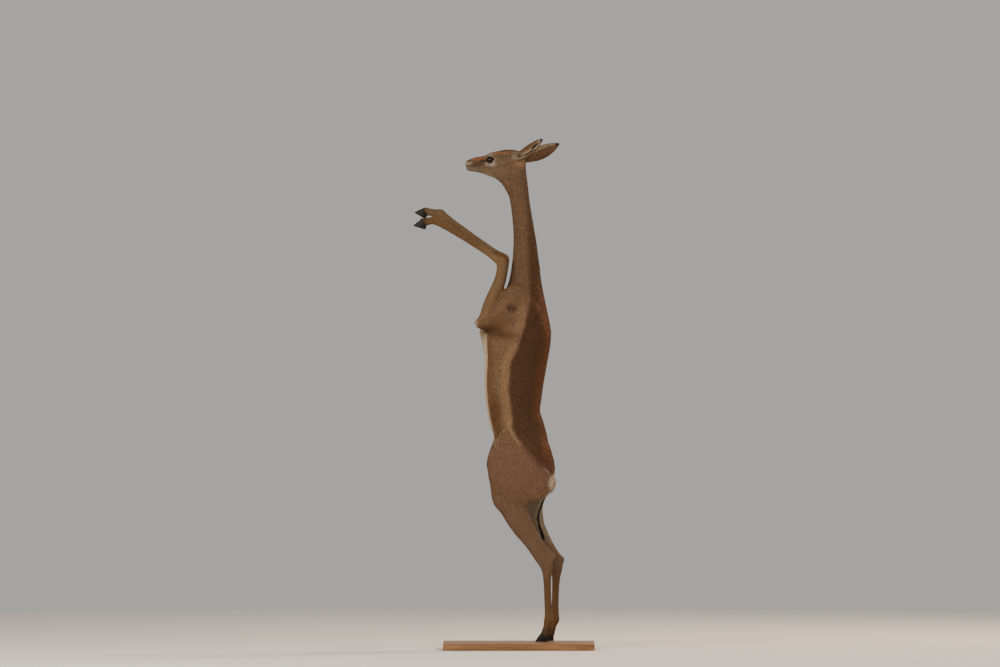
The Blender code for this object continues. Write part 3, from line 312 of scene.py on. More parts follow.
class Part(Enum):
    """The parts of the body that the coat treats apart."""

    HEAD = 0
    NECK = 1
    TRUNK = 2
    RUMP = 3
    EAR_LEFT = 4
    EAR_RIGHT = 5
    ARM_LEFT = 6
    ARM_RIGHT = 7
    FORELEG_LEFT = 8
    FORELEG_RIGHT = 9
    THIGH_LEFT = 10
    THIGH_RIGHT = 11
    HINDLEG_LEFT = 12
    HINDLEG_RIGHT = 13
    TAIL = 14


EAR_PARTS = (Part.EAR_LEFT, Part.EAR_RIGHT)
ARMS = (Part.ARM_LEFT, Part.ARM_RIGHT)
FORELEGS = (Part.FORELEG_LEFT, Part.FORELEG_RIGHT)
THIGHS = (Part.THIGH_LEFT, Part.THIGH_RIGHT)
HINDLEGS = (Part.HINDLEG_LEFT, Part.HINDLEG_RIGHT)


@dataclass(frozen=True)
class Axis:
    """The middle line of a part, in the direction that its hair lies.

    Attributes:
        part: the part of the body.
        stations: rows of x, y, z and half thickness.
        steep: how fast points outside that thickness stop belonging to the part.
    """

    part: Part
    stations: tuple[tuple[float, float, float, float], ...]
    steep: float = 1.0


AXES = (
    Axis(Part.HEAD, ((-0.212, 0.0, 1.985, 0.014), (-0.150, 0.0, 1.988, 0.028), (-0.090, 0.0, 1.990, 0.042),
                     (-0.030, 0.0, 1.990, 0.046))),
    Axis(Part.NECK, ((-0.013, 0.0, 1.970, 0.040), (0.000, 0.0, 1.860, 0.040), (0.020, 0.0, 1.727, 0.042),
                     (0.028, 0.0, 1.576, 0.052), (0.026, 0.0, 1.500, 0.062))),
    Axis(Part.TRUNK, ((0.020, 0.0, 1.440, 0.080), (0.000, 0.0, 1.330, 0.100), (-0.008, 0.0, 1.200, 0.112),
                      (-0.022, 0.0, 1.050, 0.106), (-0.020, 0.0, 0.960, 0.096))),
    Axis(Part.RUMP, ((0.002, 0.0, 0.900, 0.090), (0.034, 0.0, 0.830, 0.084), (0.066, 0.0, 0.768, 0.072),
                     (0.092, 0.0, 0.715, 0.048))),
    Axis(Part.EAR_LEFT, ((-0.018, -0.029, 2.014, 0.016), (0.038, -0.078, 2.048, 0.022),
                         (0.096, -0.128, 2.088, 0.004))),
    Axis(Part.EAR_RIGHT, ((-0.002, 0.034, 2.009, 0.016), (0.085, 0.044, 2.034, 0.022),
                          (0.165, 0.050, 2.074, 0.004))),
    Axis(Part.ARM_LEFT, ((-0.020, -0.074, 1.440, 0.034), (-0.078, -0.078, 1.385, 0.032),
                         (-0.134, -0.076, 1.352, 0.026))),
    Axis(Part.ARM_RIGHT, ((-0.020, 0.074, 1.440, 0.034), (-0.078, 0.078, 1.385, 0.032),
                          (-0.134, 0.076, 1.352, 0.026))),
    Axis(Part.FORELEG_LEFT, ((-0.138, -0.076, 1.364, 0.028), (-0.098, -0.067, 1.475, 0.025),
                             (-0.069, -0.058, 1.593, 0.020), (-0.150, -0.056, 1.643, 0.014),
                             (-0.338, -0.050, 1.761, 0.016), (-0.398, -0.048, 1.746, 0.020))),
    Axis(Part.FORELEG_RIGHT, ((-0.138, 0.076, 1.364, 0.028), (-0.098, 0.067, 1.475, 0.025),
                              (-0.062, 0.056, 1.598, 0.020), (-0.145, 0.053, 1.658, 0.014),
                              (-0.320, 0.046, 1.787, 0.016), (-0.392, 0.044, 1.795, 0.020))),
    Axis(Part.THIGH_LEFT, ((0.030, -0.052, 0.815, 0.072), (0.000, -0.056, 0.720, 0.080),
                           (-0.046, -0.066, 0.630, 0.052))),
    Axis(Part.THIGH_RIGHT, ((0.034, 0.052, 0.815, 0.072), (0.020, 0.056, 0.720, 0.080),
                            (0.004, 0.066, 0.630, 0.056))),
    Axis(Part.HINDLEG_LEFT, ((-0.062, -0.068, 0.606, 0.044), (0.020, -0.062, 0.480, 0.034),
                             (0.114, -0.056, 0.352, 0.024), (0.122, -0.060, 0.118, 0.016),
                             (0.105, -0.062, 0.056, 0.022))),
    Axis(Part.HINDLEG_RIGHT, ((0.006, 0.068, 0.606, 0.044), (0.080, 0.062, 0.480, 0.034),
                              (0.155, 0.056, 0.346, 0.024), (0.147, 0.060, 0.118, 0.016),
                              (0.130, 0.062, 0.056, 0.022))),
    Axis(Part.TAIL, ((0.128, 0.0, 0.712, 0.014), (0.136, -0.001, 0.686, 0.012),
                     (0.126, -0.002, 0.650, 0.0075), (0.104, -0.002, 0.613, 0.0042),
                     (0.087, -0.001, 0.576, 0.0036), (0.079, 0.0, 0.543, 0.0036),
                     (0.083, 0.001, 0.512, 0.0046), (0.102, 0.001, 0.452, 0.007)), 6.0),
)


@dataclass
class Placement:
    """What the map says of some points of the skin.

    Attributes:
        part: the number of the nearest part.
        along: how far along that part's middle line, from 0 to 1.
        around: the angle round that line, in radians.
        way: the direction in which hair lies there, before it is laid on the skin.
        shares: for each part, how much each point belongs to it, soft where parts meet.
    """

    part: Array
    along: Array
    around: Array
    way: Array
    shares: Array

    def share(self, *parts: Part) -> Array:
        """How much each point belongs to these parts together, from 0 to 1."""
        return sum(self.shares[part.value] for part in parts)

    def on(self, *parts: Part) -> Array:
        """Whether each point's nearest part is one of these."""
        return np.isin(self.part, [part.value for part in parts])


@dataclass
class BodyMap:
    """Finds the part of the body that points belong to, and an unwrap of the skin by parts.

    Attributes:
        axes: the middle lines of the parts.
        mixing: the distance over which directions of neighbouring parts mix.
        columns: cells in a row of the unwrap.
        margin: the share of a cell that stays empty at each edge.
    """

    axes: tuple[Axis, ...] = AXES
    mixing: float = 0.020
    columns: int = 4
    margin: float = 0.04

    def locate(self, points: Array) -> Placement:
        """Finds the part, the place on it and the lie of the hair.

        Args:
            points: rows of coordinates.

        Returns:
            The placement of each point.
        """
        count = len(points)
        best = np.full(count, np.inf)
        part = np.zeros(count, int)
        along = np.zeros(count)
        around = np.zeros(count)
        nearness = np.zeros((len(self.axes), count))
        ways = np.zeros((len(self.axes), count, 3))
        for number, axis in enumerate(self.axes):
            rows = np.array(axis.stations)
            lengths = np.linalg.norm(np.diff(rows[:, :3], axis=0), axis=1)
            total, passed = lengths.sum(), 0.0
            near = np.full(count, np.inf)
            for start, end, length in zip(rows[:-1], rows[1:], lengths):
                way = (end[:3] - start[:3]) / length
                share = np.clip(((points - start[:3]) @ way) / length, 0.0, 1.0)
                offset = points - start[:3] - share[:, None] * (end[:3] - start[:3])
                gap = np.linalg.norm(offset, axis=1) - (start[3] + share * (end[3] - start[3]))
                gap = np.maximum(gap, gap * axis.steep)
                closer = gap < near
                near[closer] = gap[closer]
                ways[number][closer] = way
                side = unit(np.cross(way, (0.0, 1.0, 0.0)))
                across = np.cross(way, side)
                angle = np.arctan2(offset @ across, offset @ side)
                won = closer & (gap < best)
                best[won] = gap[won]
                part[won] = axis.part.value
                along[won] = (passed + share[won] * length) / total
                around[won] = angle[won]
                passed += length
            nearness[number] = near
        weights = np.exp(-(nearness - nearness.min(axis=0)) / self.mixing)
        way = np.einsum("np,npk->pk", weights, ways)
        return Placement(part, along, around, unit(way), weights / weights.sum(axis=0))

    def unwrap(self, placement: Placement) -> Array:
        """Places points on an unwrap in which each part is rolled out in a cell of its own.

        Args:
            placement: what locate gave.

        Returns:
            Rows of two coordinates from 0 to 1.
        """
        cell = 1.0 / self.columns
        room = cell * (1 - 2 * self.margin)
        turn = (placement.around + math.pi) / (2 * math.pi)
        across = (placement.part % self.columns) * cell + cell * self.margin + room * turn
        up = (placement.part // self.columns) * cell + cell * self.margin + room * placement.along
        return np.stack([across, up], axis=1)


# Markings, and the light and shade painted into them.


@dataclass(frozen=True)
class Spot:
    """A soft oval patch of colour, the same on both sides of the body.

    Attributes:
        colour: sRGB colour.
        centre: x, y outward and z.
        reach: half sizes along x, y and z.
        strength: how much of the colour shows in the middle.
        soft: the share of the half size over which it fades.
    """

    colour: str
    centre: tuple[float, float, float]
    reach: tuple[float, float, float]
    strength: float = 1.0
    soft: float = 0.5

    def share(self, points: Array) -> Array:
        """How much of the spot's colour each point has, from 0 to 1."""
        level = np.linalg.norm((one_side(points) - self.centre) / self.reach, axis=1)
        return self.strength * step_between(1.0 + self.soft / 2, 1.0 - self.soft / 2, level)


@dataclass(frozen=True)
class Streak:
    """A soft line of colour on the outward sides, the same on both sides of the body.

    Attributes:
        colour: sRGB colour.
        line: corners as x and z.
        width: half width at which it has faded.
        strength: how much of the colour shows in the middle.
    """

    colour: str
    line: tuple[tuple[float, float], ...]
    width: float
    strength: float

    def share(self, points: Array, normals: Array) -> Array:
        """How much of the streak's colour each point has.

        Args:
            points: rows of coordinates.
            normals: the directions out of the skin.

        Returns:
            Values from 0 to 1.
        """
        gap, _ = line_distance(points[:, ::2], np.array(self.line))
        outer = step_between(0.0, 0.3, normals[:, 1] * np.sign(points[:, 1]))
        return self.strength * step_between(self.width, self.width * 0.2, gap) * outer


@dataclass(frozen=True)
class Eye:
    """The left or right eyeball and the slit of its lids.

    Attributes:
        centre: x, y outward and z of the middle.
        radius: radius of the ball.
        look: the way that it looks, y outward.
        tilt: how far the slit drops towards the nose, in radians.
        half_length: half angle of the slit along it.
        half_height: half angle across it.
    """

    centre: tuple[float, float, float] = (-0.1145, 0.0310, 2.0055)
    radius: float = 0.0170
    look: tuple[float, float, float] = (-0.26, 0.96, 0.06)
    tilt: float = math.radians(12)
    half_length: float = math.radians(58)
    half_height: float = math.radians(41)

    def axes(self, sign: float) -> tuple[Array, Array, Array, Array]:
        """The eye's middle and directions on one side.

        Args:
            sign: -1 for the left side, 1 for the right.

        Returns:
            The middle, and the directions ahead, along the slit to the nose, and up across it.
        """
        centre = np.array(self.centre) * (1.0, sign, 1.0)
        look = unit(np.array(self.look) * (1.0, sign, 1.0))
        forward = np.array((-math.cos(self.tilt), 0.0, -math.sin(self.tilt)))
        forward = unit(forward - forward.dot(look) * look)
        up = np.cross(look, forward)
        return centre, look, forward, up if up[2] > 0 else -up

    def level(self, points: Array, sign: float) -> tuple[Array, Array, Array, Array]:
        """Where points lie against the slit: 1 is its edge, less is inside the opening.

        Args:
            points: rows of coordinates.
            sign: the side.

        Returns:
            The level, the distance from the ball's middle, and how far the points lie towards the nose and
            above the middle line, as shares of the slit's half length and half height.
        """
        centre, look, forward, up = self.axes(sign)
        local = points - centre
        ahead = np.maximum(local @ look, 1e-6)
        turn = np.arctan2(local @ forward, ahead) / self.half_length
        lift = np.arctan2(local @ up, ahead) / self.half_height
        level = np.sqrt(turn ** 2 + np.abs(lift) ** 1.5)
        level[(local @ look) < 0] = 9.0
        return level, np.linalg.norm(local, axis=1), turn, lift


@dataclass(frozen=True)
class EarFrame:
    """The line and the open side of one ear.

    Attributes:
        root: where the ear leaves the head.
        tip: its end.
        facing: the way that the cup faces.
    """

    root: tuple[float, float, float]
    tip: tuple[float, float, float]
    facing: tuple[float, float, float]

    def axes(self) -> tuple[Array, Array, Array]:
        """Directions along the ear, out of its cup and across it.

        Returns:
            Three unit vectors.
        """
        along = unit(np.array(self.tip) - self.root)
        out = np.array(self.facing)
        out = unit(out - out.dot(along) * along)
        return along, out, np.cross(along, out)


EARS = {
    Part.EAR_LEFT: EarFrame((-0.022, -0.026, 2.011), (0.096, -0.128, 2.088), (-0.73, -0.50, 0.42)),
    Part.EAR_RIGHT: EarFrame((-0.006, 0.032, 2.008), (0.165, 0.050, 2.074), (-0.30, 1.00, -0.10)),
}
MOUTH_LINE = ((-0.2170, 0.0, 1.9790), (-0.2120, 0.0070, 1.9792), (-0.2000, 0.0128, 1.9802),
              (-0.1850, 0.0160, 1.9808), (-0.1690, 0.0178, 1.9790))
NOSTRIL_LINE = ((-0.2095, 0.0095, 1.9945), (-0.2040, 0.0135, 1.9985), (-0.1965, 0.0162, 1.9990))


def muzzle_gaps(points: Array) -> tuple[Array, Array]:
    """Distances from points to the line of the mouth and to the nostril of their side."""
    return tuple(line_distance(one_side(points), np.array(line))[0] for line in (MOUTH_LINE, NOSTRIL_LINE))


@dataclass(frozen=True)
class Palette:
    """The colours of the coat in sRGB, each named after the part or mark that wears it, with painted light
    among them: a warm highlight on the saddle's hind edge and shade on the flank.
    """

    tan: str = "745a43"
    neck: str = "69503b"
    nape: str = "4f3820"
    saddle: str = "4b301e"
    # Painted highlight: warm light on the saddle's hind edge.
    back_edge_highlight: str = "6d4325"
    band: str = "8f7150"
    # Painted shade on the flank next to the belly.
    flank_shade: str = "634227"
    thigh: str = "705441"
    white: str = "c6b298"
    inner: str = "867864"
    shank: str = "6c5441"
    fore: str = "745a3f"
    cannon: str = "644a2f"
    cheek: str = "6e5b46"
    muzzle: str = "513d2f"
    ring: str = "a39382"
    white_rump: str = "bfae9c"
    dark: str = "15100d"
    ear_back: str = "6e4f36"
    ear_strip: str = "8c7b66"
    ear_edge: str = "6e4d31"
    ear_inside: str = "92826c"
    ear_mark: str = "181210"


@dataclass
class Paint:
    """Points of the coat and their colours while marks are laid over them.

    Attributes:
        points: rows of coordinates.
        normals: the directions out of the skin.
        place: the placement of the points.
        colours: rows of linear colours.
    """

    points: Array
    normals: Array
    place: Placement
    colours: Array

    def mix(self, colour: str, share: Array, where: Array | slice = slice(None)) -> None:
        """Lays one colour over the others.

        Args:
            colour: sRGB colour.
            share: how much of it each point takes.
            where: the points that the shares are of, all of them where left out.
        """
        old = self.colours[where]
        self.colours[where] = old + np.clip(share, 0, 1)[:, None] * (linear(colour) - old)


SADDLE_EDGE = (
    (1.900, 0.0365), (1.750, 0.0360), (1.600, 0.0390), (1.432, 0.0463), (1.391, 0.0381), (1.326, 0.0258),
    (1.281, 0.0094), (1.227, -0.0070), (1.178, -0.0316), (1.125, -0.0357), (1.063, -0.0398),
    (1.002, -0.0316), (0.948, -0.0234), (0.907, -0.0234), (0.871, -0.0029), (0.830, 0.0258),
    (0.776, 0.0668), (0.735, 0.0996), (0.700, 0.1500),
)
SADDLE_SOFT = ((0.75, 0.024), (0.90, 0.008), (1.30, 0.007), (1.50, 0.012), (1.80, 0.014))
SADDLE_DEPTH = ((0.69, 0.0), (0.73, 0.65), (0.78, 0.90), (1.38, 1.0), (1.60, 0.80), (1.84, 0.45), (1.92, 0.0))
BELLY_FRONT = (
    (1.330, -0.1440), (1.260, -0.1492), (1.194, -0.1425), (1.112, -0.1443), (1.063, -0.1415),
    (0.998, -0.1341), (0.940, -0.1205), (0.883, -0.1054), (0.856, -0.0992),
)
BELLY_WIDTH = ((0.86, 0.004), (0.94, 0.007), (1.05, 0.010), (1.20, 0.015), (1.30, 0.019))
SPOTS = (
    # Painted shade in the shoulder crease.
    Spot("4c3322", (-0.028, 0.095, 1.400), (0.022, 0.045, 0.018), 0.75, 1.0),
    # Painted shade below the shoulder.
    Spot("573a25", (-0.066, 0.085, 1.345), (0.050, 0.050, 0.024), 0.55, 1.2),
    # Painted shade under the elbow.
    Spot("4b301b", (-0.112, 0.070, 1.313), (0.058, 0.060, 0.021), 0.85, 1.2),
    # Painted shade under the upper arm.
    Spot("4b321c", (-0.060, 0.075, 1.290), (0.050, 0.060, 0.015), 0.60, 1.4),
    # Painted shade on the flank next to the belly.
    Spot("5a3b22", (-0.100, 0.080, 0.965), (0.026, 0.060, 0.080), 0.75, 1.0),
    # Painted shade in the fold between flank and thigh.
    Spot("4d3520", (-0.078, 0.060, 0.898), (0.014, 0.060, 0.030), 0.50, 1.2),
    Spot("bfae9c", (0.148, 0.000, 0.684), (0.036, 0.090, 0.046), 1.00, 0.55),
    # Painted warm highlight on the rump.
    Spot("9c6434", (0.118, 0.030, 0.752), (0.014, 0.022, 0.012), 0.50, 0.9),
    # Painted warm highlight on the rump's hind edge.
    Spot("7b4a2c", (0.108, 0.030, 0.820), (0.014, 0.050, 0.056), 0.55, 1.2),
    Spot("b3a284", (-0.080, 0.000, 1.420), (0.060, 0.040, 0.060), 0.60, 0.7),
    Spot("c0ae94", (-0.110, 0.000, 1.330), (0.060, 0.046, 0.050), 0.80, 0.7),
    Spot("b3a48e", (-0.185, 0.074, 1.337), (0.015, 0.034, 0.019), 0.90, 1.3),
    Spot("815630", (-0.058, 0.056, 1.606), (0.020, 0.030, 0.016), 0.70, 0.9),
    Spot("46301d", (-0.090, 0.056, 1.622), (0.016, 0.030, 0.010), 0.55, 1.0),
    Spot("3c2a1c", (-0.392, 0.046, 1.770), (0.022, 0.040, 0.050), 0.55, 0.8),
    Spot("3c2a1c", (0.118, 0.062, 0.072), (0.050, 0.040, 0.018), 0.55, 0.8),
)
STREAKS = (
    Streak("a98f70", ((-0.036, 0.948), (-0.044, 0.914), (-0.020, 0.878), (0.004, 0.840)), 0.0075, 0.42),
    Streak("9b8061", ((-0.044, 0.914), (-0.062, 0.897), (-0.088, 0.860)), 0.0060, 0.30),
    Streak("a07a40", ((0.070, 0.622), (0.088, 0.630), (0.104, 0.644), (0.114, 0.656)), 0.0045, 0.30),
    Streak("b3a08c", ((0.102, 0.744), (0.114, 0.736), (0.126, 0.722)), 0.0040, 0.50),
    Streak("4e3622", ((-0.106, 0.895), (-0.094, 0.868), (-0.108, 0.830)), 0.0070, 0.35),
)
FACE_SPOTS = (
    Spot("8a5534", (-0.164, 0.000, 2.016), (0.050, 0.025, 0.016), 0.85, 1.0),
    Spot("764c30", (-0.116, 0.008, 2.040), (0.040, 0.022, 0.013), 0.65, 1.2),
    Spot("8f7d66", (-0.116, 0.027, 2.0305), (0.022, 0.012, 0.007), 0.75, 0.8),
    Spot("8f6544", (-0.074, 0.022, 2.0360), (0.042, 0.020, 0.009), 0.75, 0.9),
    Spot("5e4c3b", (-0.064, 0.036, 2.0170), (0.030, 0.020, 0.009), 0.50, 1.0),
    Spot("3a2618", (-0.066, 0.000, 2.052), (0.038, 0.028, 0.014), 0.95, 0.8),
    Spot("4a3425", (-0.163, 0.020, 1.9900), (0.026, 0.020, 0.010), 0.60, 1.0),
    Spot("37271c", (-0.1460, 0.022, 2.0020), (0.015, 0.016, 0.0065), 0.90, 0.8),
    Spot("887c6e", (-0.1150, 0.036, 1.9880), (0.024, 0.024, 0.0115), 0.90, 0.5),
    # Painted highlight on the nape below the ear.
    Spot("a07a56", (0.008, 0.026, 1.9960), (0.020, 0.032, 0.020), 0.60, 1.7),
    Spot("6e6356", (-0.185, 0.000, 1.968), (0.035, 0.022, 0.010), 0.70, 0.7),
    Spot("6c6156", (-0.205, 0.010, 1.982), (0.014, 0.014, 0.009), 0.65, 0.8),
    Spot("a08c76", (-0.205, 0.010, 1.9945), (0.016, 0.014, 0.006), 0.65, 0.8),
    Spot("a8937c", (-0.217, 0.000, 1.994), (0.008, 0.012, 0.008), 0.85, 0.6),
    Spot("8f7f69", (-0.110, 0.000, 1.946), (0.060, 0.018, 0.014), 0.55, 0.8),
)
EAR_MARKS = (
    ((0.26, 0.06), (0.70, 0.24)),
    ((0.36, 0.12), (0.52, 0.56)),
    ((0.52, -0.34), (0.80, -0.24)),
)


@dataclass
class Markings:
    """The colours of skin and coat as functions of the place on the body.

    Attributes:
        body: the map of the parts.
        palette: the colours.
        eye: the eyes, for the rims of their lids and the pale ring.
        rim: the level of the slit at which the dark lid rim ends.
        ring: the levels between which the pale ring lies.
        ear_width: half width of an ear.
        ear_stroke: half width of a dark mark in an ear.
    """

    body: BodyMap
    palette: Palette = Palette()
    eye: Eye = Eye()
    rim: float = 1.12
    ring: tuple[float, float] = (1.12, 1.62)
    ear_width: float = 0.026
    ear_stroke: float = 0.0043

    def colours(self, points: Array, normals: Array) -> Array:
        """Mixes the markings.

        Args:
            points: rows of coordinates.
            normals: the directions out of the skin there.

        Returns:
            Rows of linear colours.
        """
        place = self.body.locate(points)
        coat = Paint(points, normals, place, np.tile(linear(self.palette.tan), (len(points), 1)))
        self.paint_body(coat)
        self.paint_legs(coat)
        off_tail = ~place.on(Part.TAIL)
        for spot in SPOTS:
            coat.mix(spot.colour, spot.share(points) * off_tail)
        for streak in STREAKS:
            coat.mix(streak.colour, streak.share(points, normals) * off_tail)
        self.paint_head(coat)
        for part, ear in EARS.items():
            self.paint_ear(coat, part, ear)
        self.paint_tail(coat)
        return coat.colours

    def paint_body(self, coat: Paint) -> None:
        """Adds the marks of neck and trunk, and the shade and highlight painted there.

        Args:
            coat: the points, whose colours are changed.
        """
        palette, place = self.palette, coat.place
        x, z, backward = coat.points[:, 0], coat.points[:, 2], coat.normals[:, 0]
        limbs = place.share(*FORELEGS, *HINDLEGS)
        core = (1 - limbs) * ~place.on(Part.TAIL) * ~place.on(*EAR_PARTS)
        # The ground tones of neck and hindquarters.
        coat.mix(palette.neck, step_between(1.34, 1.56, z) * (1 - limbs))
        coat.mix(palette.thigh, step_between(0.92, 0.80, z))

        # The dark saddle along the back with a painted warm highlight on its hind edge, and the nape above
        # it.
        behind = x - curve(SADDLE_EDGE, z)
        saddle = step_between(-1.0, 1.0, behind / curve(SADDLE_SOFT, z)) * curve(SADDLE_DEPTH, z) * core
        coat.mix(palette.saddle, saddle)
        # Painted highlight: a warm tint where the saddle faces backward, standing in for light from behind.
        back = step_between(0.45, 0.95, backward) * step_between(1.60, 1.45, z) * saddle
        coat.mix(palette.back_edge_highlight, back * 0.7)
        nape = place.share(Part.NECK) * step_between(0.2, 0.9, backward) * step_between(1.45, 1.6, z)
        coat.mix(palette.nape, nape * 0.6)

        # The pale band along the edge of the saddle, fainter over the chest.
        band = step_between(-0.046, -0.028, behind) * step_between(-0.001, -0.013, behind) * core
        band *= step_between(0.89, 0.95, z) * step_between(1.30, 1.20, z)
        coat.mix(palette.band, band * 0.60)
        upper = step_between(-0.050, -0.024, behind) * step_between(0.0, -0.012, behind) * core
        upper *= step_between(1.26, 1.32, z) * step_between(1.46, 1.36, z)
        coat.mix(palette.band, upper * 0.35)

        # Painted shade on the flank next to the belly, and the white line of the belly.
        front, width = x - curve(BELLY_FRONT, z), curve(BELLY_WIDTH, z)
        below = step_between(0.83, 0.90, z) * step_between(1.33, 1.29, z) * core * (1 - place.share(*ARMS))
        shade = step_between(0.052, 0.024, front) * step_between(0.98, 1.10, z)
        coat.mix(palette.flank_shade, shade * below * 0.45)
        coat.mix(palette.white, step_between(width + 0.004, width - 0.003, front) * below)

    def paint_legs(self, coat: Paint) -> None:
        """Adds the marks of the legs.

        Args:
            coat: the points, whose colours are changed.
        """
        palette, place = self.palette, coat.place
        z = coat.points[:, 2]
        inward = -coat.normals[:, 1] * np.sign(coat.points[:, 1])
        fore, hind = place.share(*FORELEGS), place.share(*HINDLEGS)
        coat.mix(palette.shank, hind)
        coat.mix(palette.fore, fore)
        coat.mix(palette.cannon, fore * step_between(0.46, 0.60, place.along))
        coat.mix(palette.cannon, hind * step_between(0.50, 0.66, place.along))
        # The inner sides are paler.
        pale = step_between(0.15, 0.75, inward) * (place.share(*THIGHS) + hind) * 0.85
        coat.mix(palette.inner, pale * step_between(0.38, 0.50, z) * step_between(0.90, 0.80, z))
        pale = step_between(0.3, 0.9, inward) * (fore * 0.2 + place.share(*ARMS) * 0.45)
        coat.mix(palette.inner, pale)

    def paint_tail(self, coat: Paint) -> None:
        """Adds the white root and the black line of the tail.

        Args:
            coat: the points, whose colours are changed.
        """
        tail, along = coat.place.on(Part.TAIL), coat.place.along
        coat.mix(self.palette.white_rump, tail * step_between(0.42, 0.36, along) * 0.95)
        coat.mix(self.palette.dark, tail * step_between(0.33, 0.39, along))

    def paint_head(self, coat: Paint) -> None:
        """Adds the marks of the face.

        Args:
            coat: the points, whose colours are changed.
        """
        palette, points = self.palette, coat.points
        head = coat.place.share(Part.HEAD)
        coat.mix(palette.cheek, head * 0.8)
        coat.mix(palette.muzzle, head * step_between(-0.130, -0.175, points[:, 0]) * 0.85)
        off_ears = ~coat.place.on(*EAR_PARTS)
        for spot in FACE_SPOTS:
            coat.mix(spot.colour, spot.share(points) * off_ears)
        # The dark lines of mouth and nostrils.
        mouth, nostril = muzzle_gaps(points)
        coat.mix(palette.dark, step_between(0.0024, 0.0008, mouth) * 0.85)
        coat.mix(palette.dark, step_between(0.0042, 0.0022, nostril) * 0.9)
        # The pale ring round each eye, wider below and behind it, and the dark rim of the lids.
        start, end = self.ring
        for sign in SIDES:
            level, distance, turn, lift = self.eye.level(points, sign)
            near = step_between(self.eye.radius + 0.018, self.eye.radius + 0.010, distance)
            near *= np.sign(points[:, 1]) == sign
            wide = 1.0 + 0.14 * step_between(0.3, -0.8, lift) + 0.12 * step_between(0.3, -0.9, turn)
            wide -= 0.20 * step_between(0.2, 0.8, turn)
            ring = step_between(end * wide, (end - 0.22) * wide, level)
            ring *= step_between(start - 0.1, start + 0.05, level)
            strength = 0.60 + 0.35 * step_between(0.2, -0.5, lift) - 0.35 * step_between(0.3, 0.9, turn)
            coat.mix(palette.ring, near * ring * strength)
            coat.mix(palette.dark, near * step_between(self.rim + 0.10, self.rim - 0.04, level))

    def paint_ear(self, coat: Paint, part: Part, ear: EarFrame) -> None:
        """Adds the marks of one ear.

        Args:
            coat: the points, whose colours are changed.
            part: the ear's part.
            ear: its line and open side.
        """
        palette, chosen = self.palette, coat.place.on(part)
        along, out, across = ear.axes()
        if across[2] > 0:
            across = -across
        local = coat.points[chosen] - np.array(ear.root)
        length = float(np.linalg.norm(np.array(ear.tip) - ear.root))
        share = (local @ along) / length
        wide = (local @ across) / self.ear_width
        inside = step_between(-0.1, 0.35, coat.normals[chosen] @ out)
        grown = step_between(0.02, 0.20, share)
        # The back of the ear, with a pale strip beside a soft dark band.
        coat.mix(palette.ear_back, grown * 0.9, chosen)
        strip = step_between(-0.75, -0.50, wide) * step_between(0.10, -0.25, wide)
        strip *= step_between(0.15, 0.4, share)
        coat.mix(palette.ear_strip, strip * (1 - inside) * 0.8, chosen)
        shade = step_between(0.30, 0.0, np.abs(wide + 0.05)) * step_between(0.40, 0.55, share)
        coat.mix(palette.ear_mark, shade * step_between(0.84, 0.70, share) * (1 - inside) * 0.45, chosen)
        # The cup with its darker edge and strokes.
        coat.mix(palette.ear_inside, inside * (0.45 + 0.45 * step_between(0.08, 0.22, share)), chosen)
        coat.mix(palette.ear_edge, inside * step_between(-0.44, -0.66, wide) * grown * 0.9, chosen)
        flat = np.stack([share * length, wide * self.ear_width], axis=1)
        for line in EAR_MARKS:
            gap, passed = line_distance(flat, np.array(line) * (length, self.ear_width))
            half = self.ear_stroke * (0.45 + 2.6 * passed * (1 - passed))
            coat.mix(palette.ear_mark, inside * step_between(half * 1.4, half * 0.6, gap), chosen)
        # The dark rim and tip.
        rim = step_between(0.80, 0.98, np.abs(wide)) * step_between(0.25, 0.5, share)
        coat.mix(palette.ear_mark, rim * 0.35, chosen)
        coat.mix(palette.ear_mark, step_between(0.88, 0.97, share), chosen)


# Meshes.


def new_object(name: str, mesh: bpy.types.Mesh, finish: Finish | None = None) -> bpy.types.Object:
    """Links a mesh to the scene as an object at the origin.

    Args:
        name: the object's name.
        mesh: its mesh.
        finish: the finish it wears, if any yet.

    Returns:
        The object.
    """
    obj = bpy.data.objects.new(name, mesh)
    bpy.context.scene.collection.objects.link(obj)
    if finish is not None:
        mesh.materials.clear()
        mesh.materials.append(finish.material())
    return obj


def applied(obj: bpy.types.Object) -> bpy.types.Object:
    """Makes an object's modifiers part of its mesh.

    Args:
        obj: the object.

    Returns:
        The same object.
    """
    bpy.context.view_layer.update()
    graph = bpy.context.evaluated_depsgraph_get()
    mesh = bpy.data.meshes.new_from_object(obj.evaluated_get(graph))
    old = obj.data
    obj.modifiers.clear()
    obj.data = mesh
    bpy.data.meshes.remove(old)
    return obj


def triangle_mesh(name: str, points: Array, triangles: Array) -> bpy.types.Mesh:
    """Makes a smooth mesh of triangles quickly.

    Args:
        name: the mesh's name.
        points: rows of coordinates.
        triangles: rows of three point numbers.

    Returns:
        The mesh.
    """
    mesh = bpy.data.meshes.new(name)
    mesh.vertices.add(len(points))
    mesh.vertices.foreach_set("co", points.astype(np.float32).ravel())
    mesh.loops.add(triangles.size)
    mesh.loops.foreach_set("vertex_index", triangles.astype(np.int32).ravel())
    mesh.polygons.add(len(triangles))
    mesh.polygons.foreach_set("loop_start", np.arange(0, triangles.size, 3, dtype=np.int32))
    smooth(mesh)
    mesh.update(calc_edges=True)
    return mesh


def smooth(mesh: bpy.types.Mesh) -> None:
    """Shades all faces of a mesh smooth."""
    mesh.polygons.foreach_set("use_smooth", np.full(len(mesh.polygons), True))


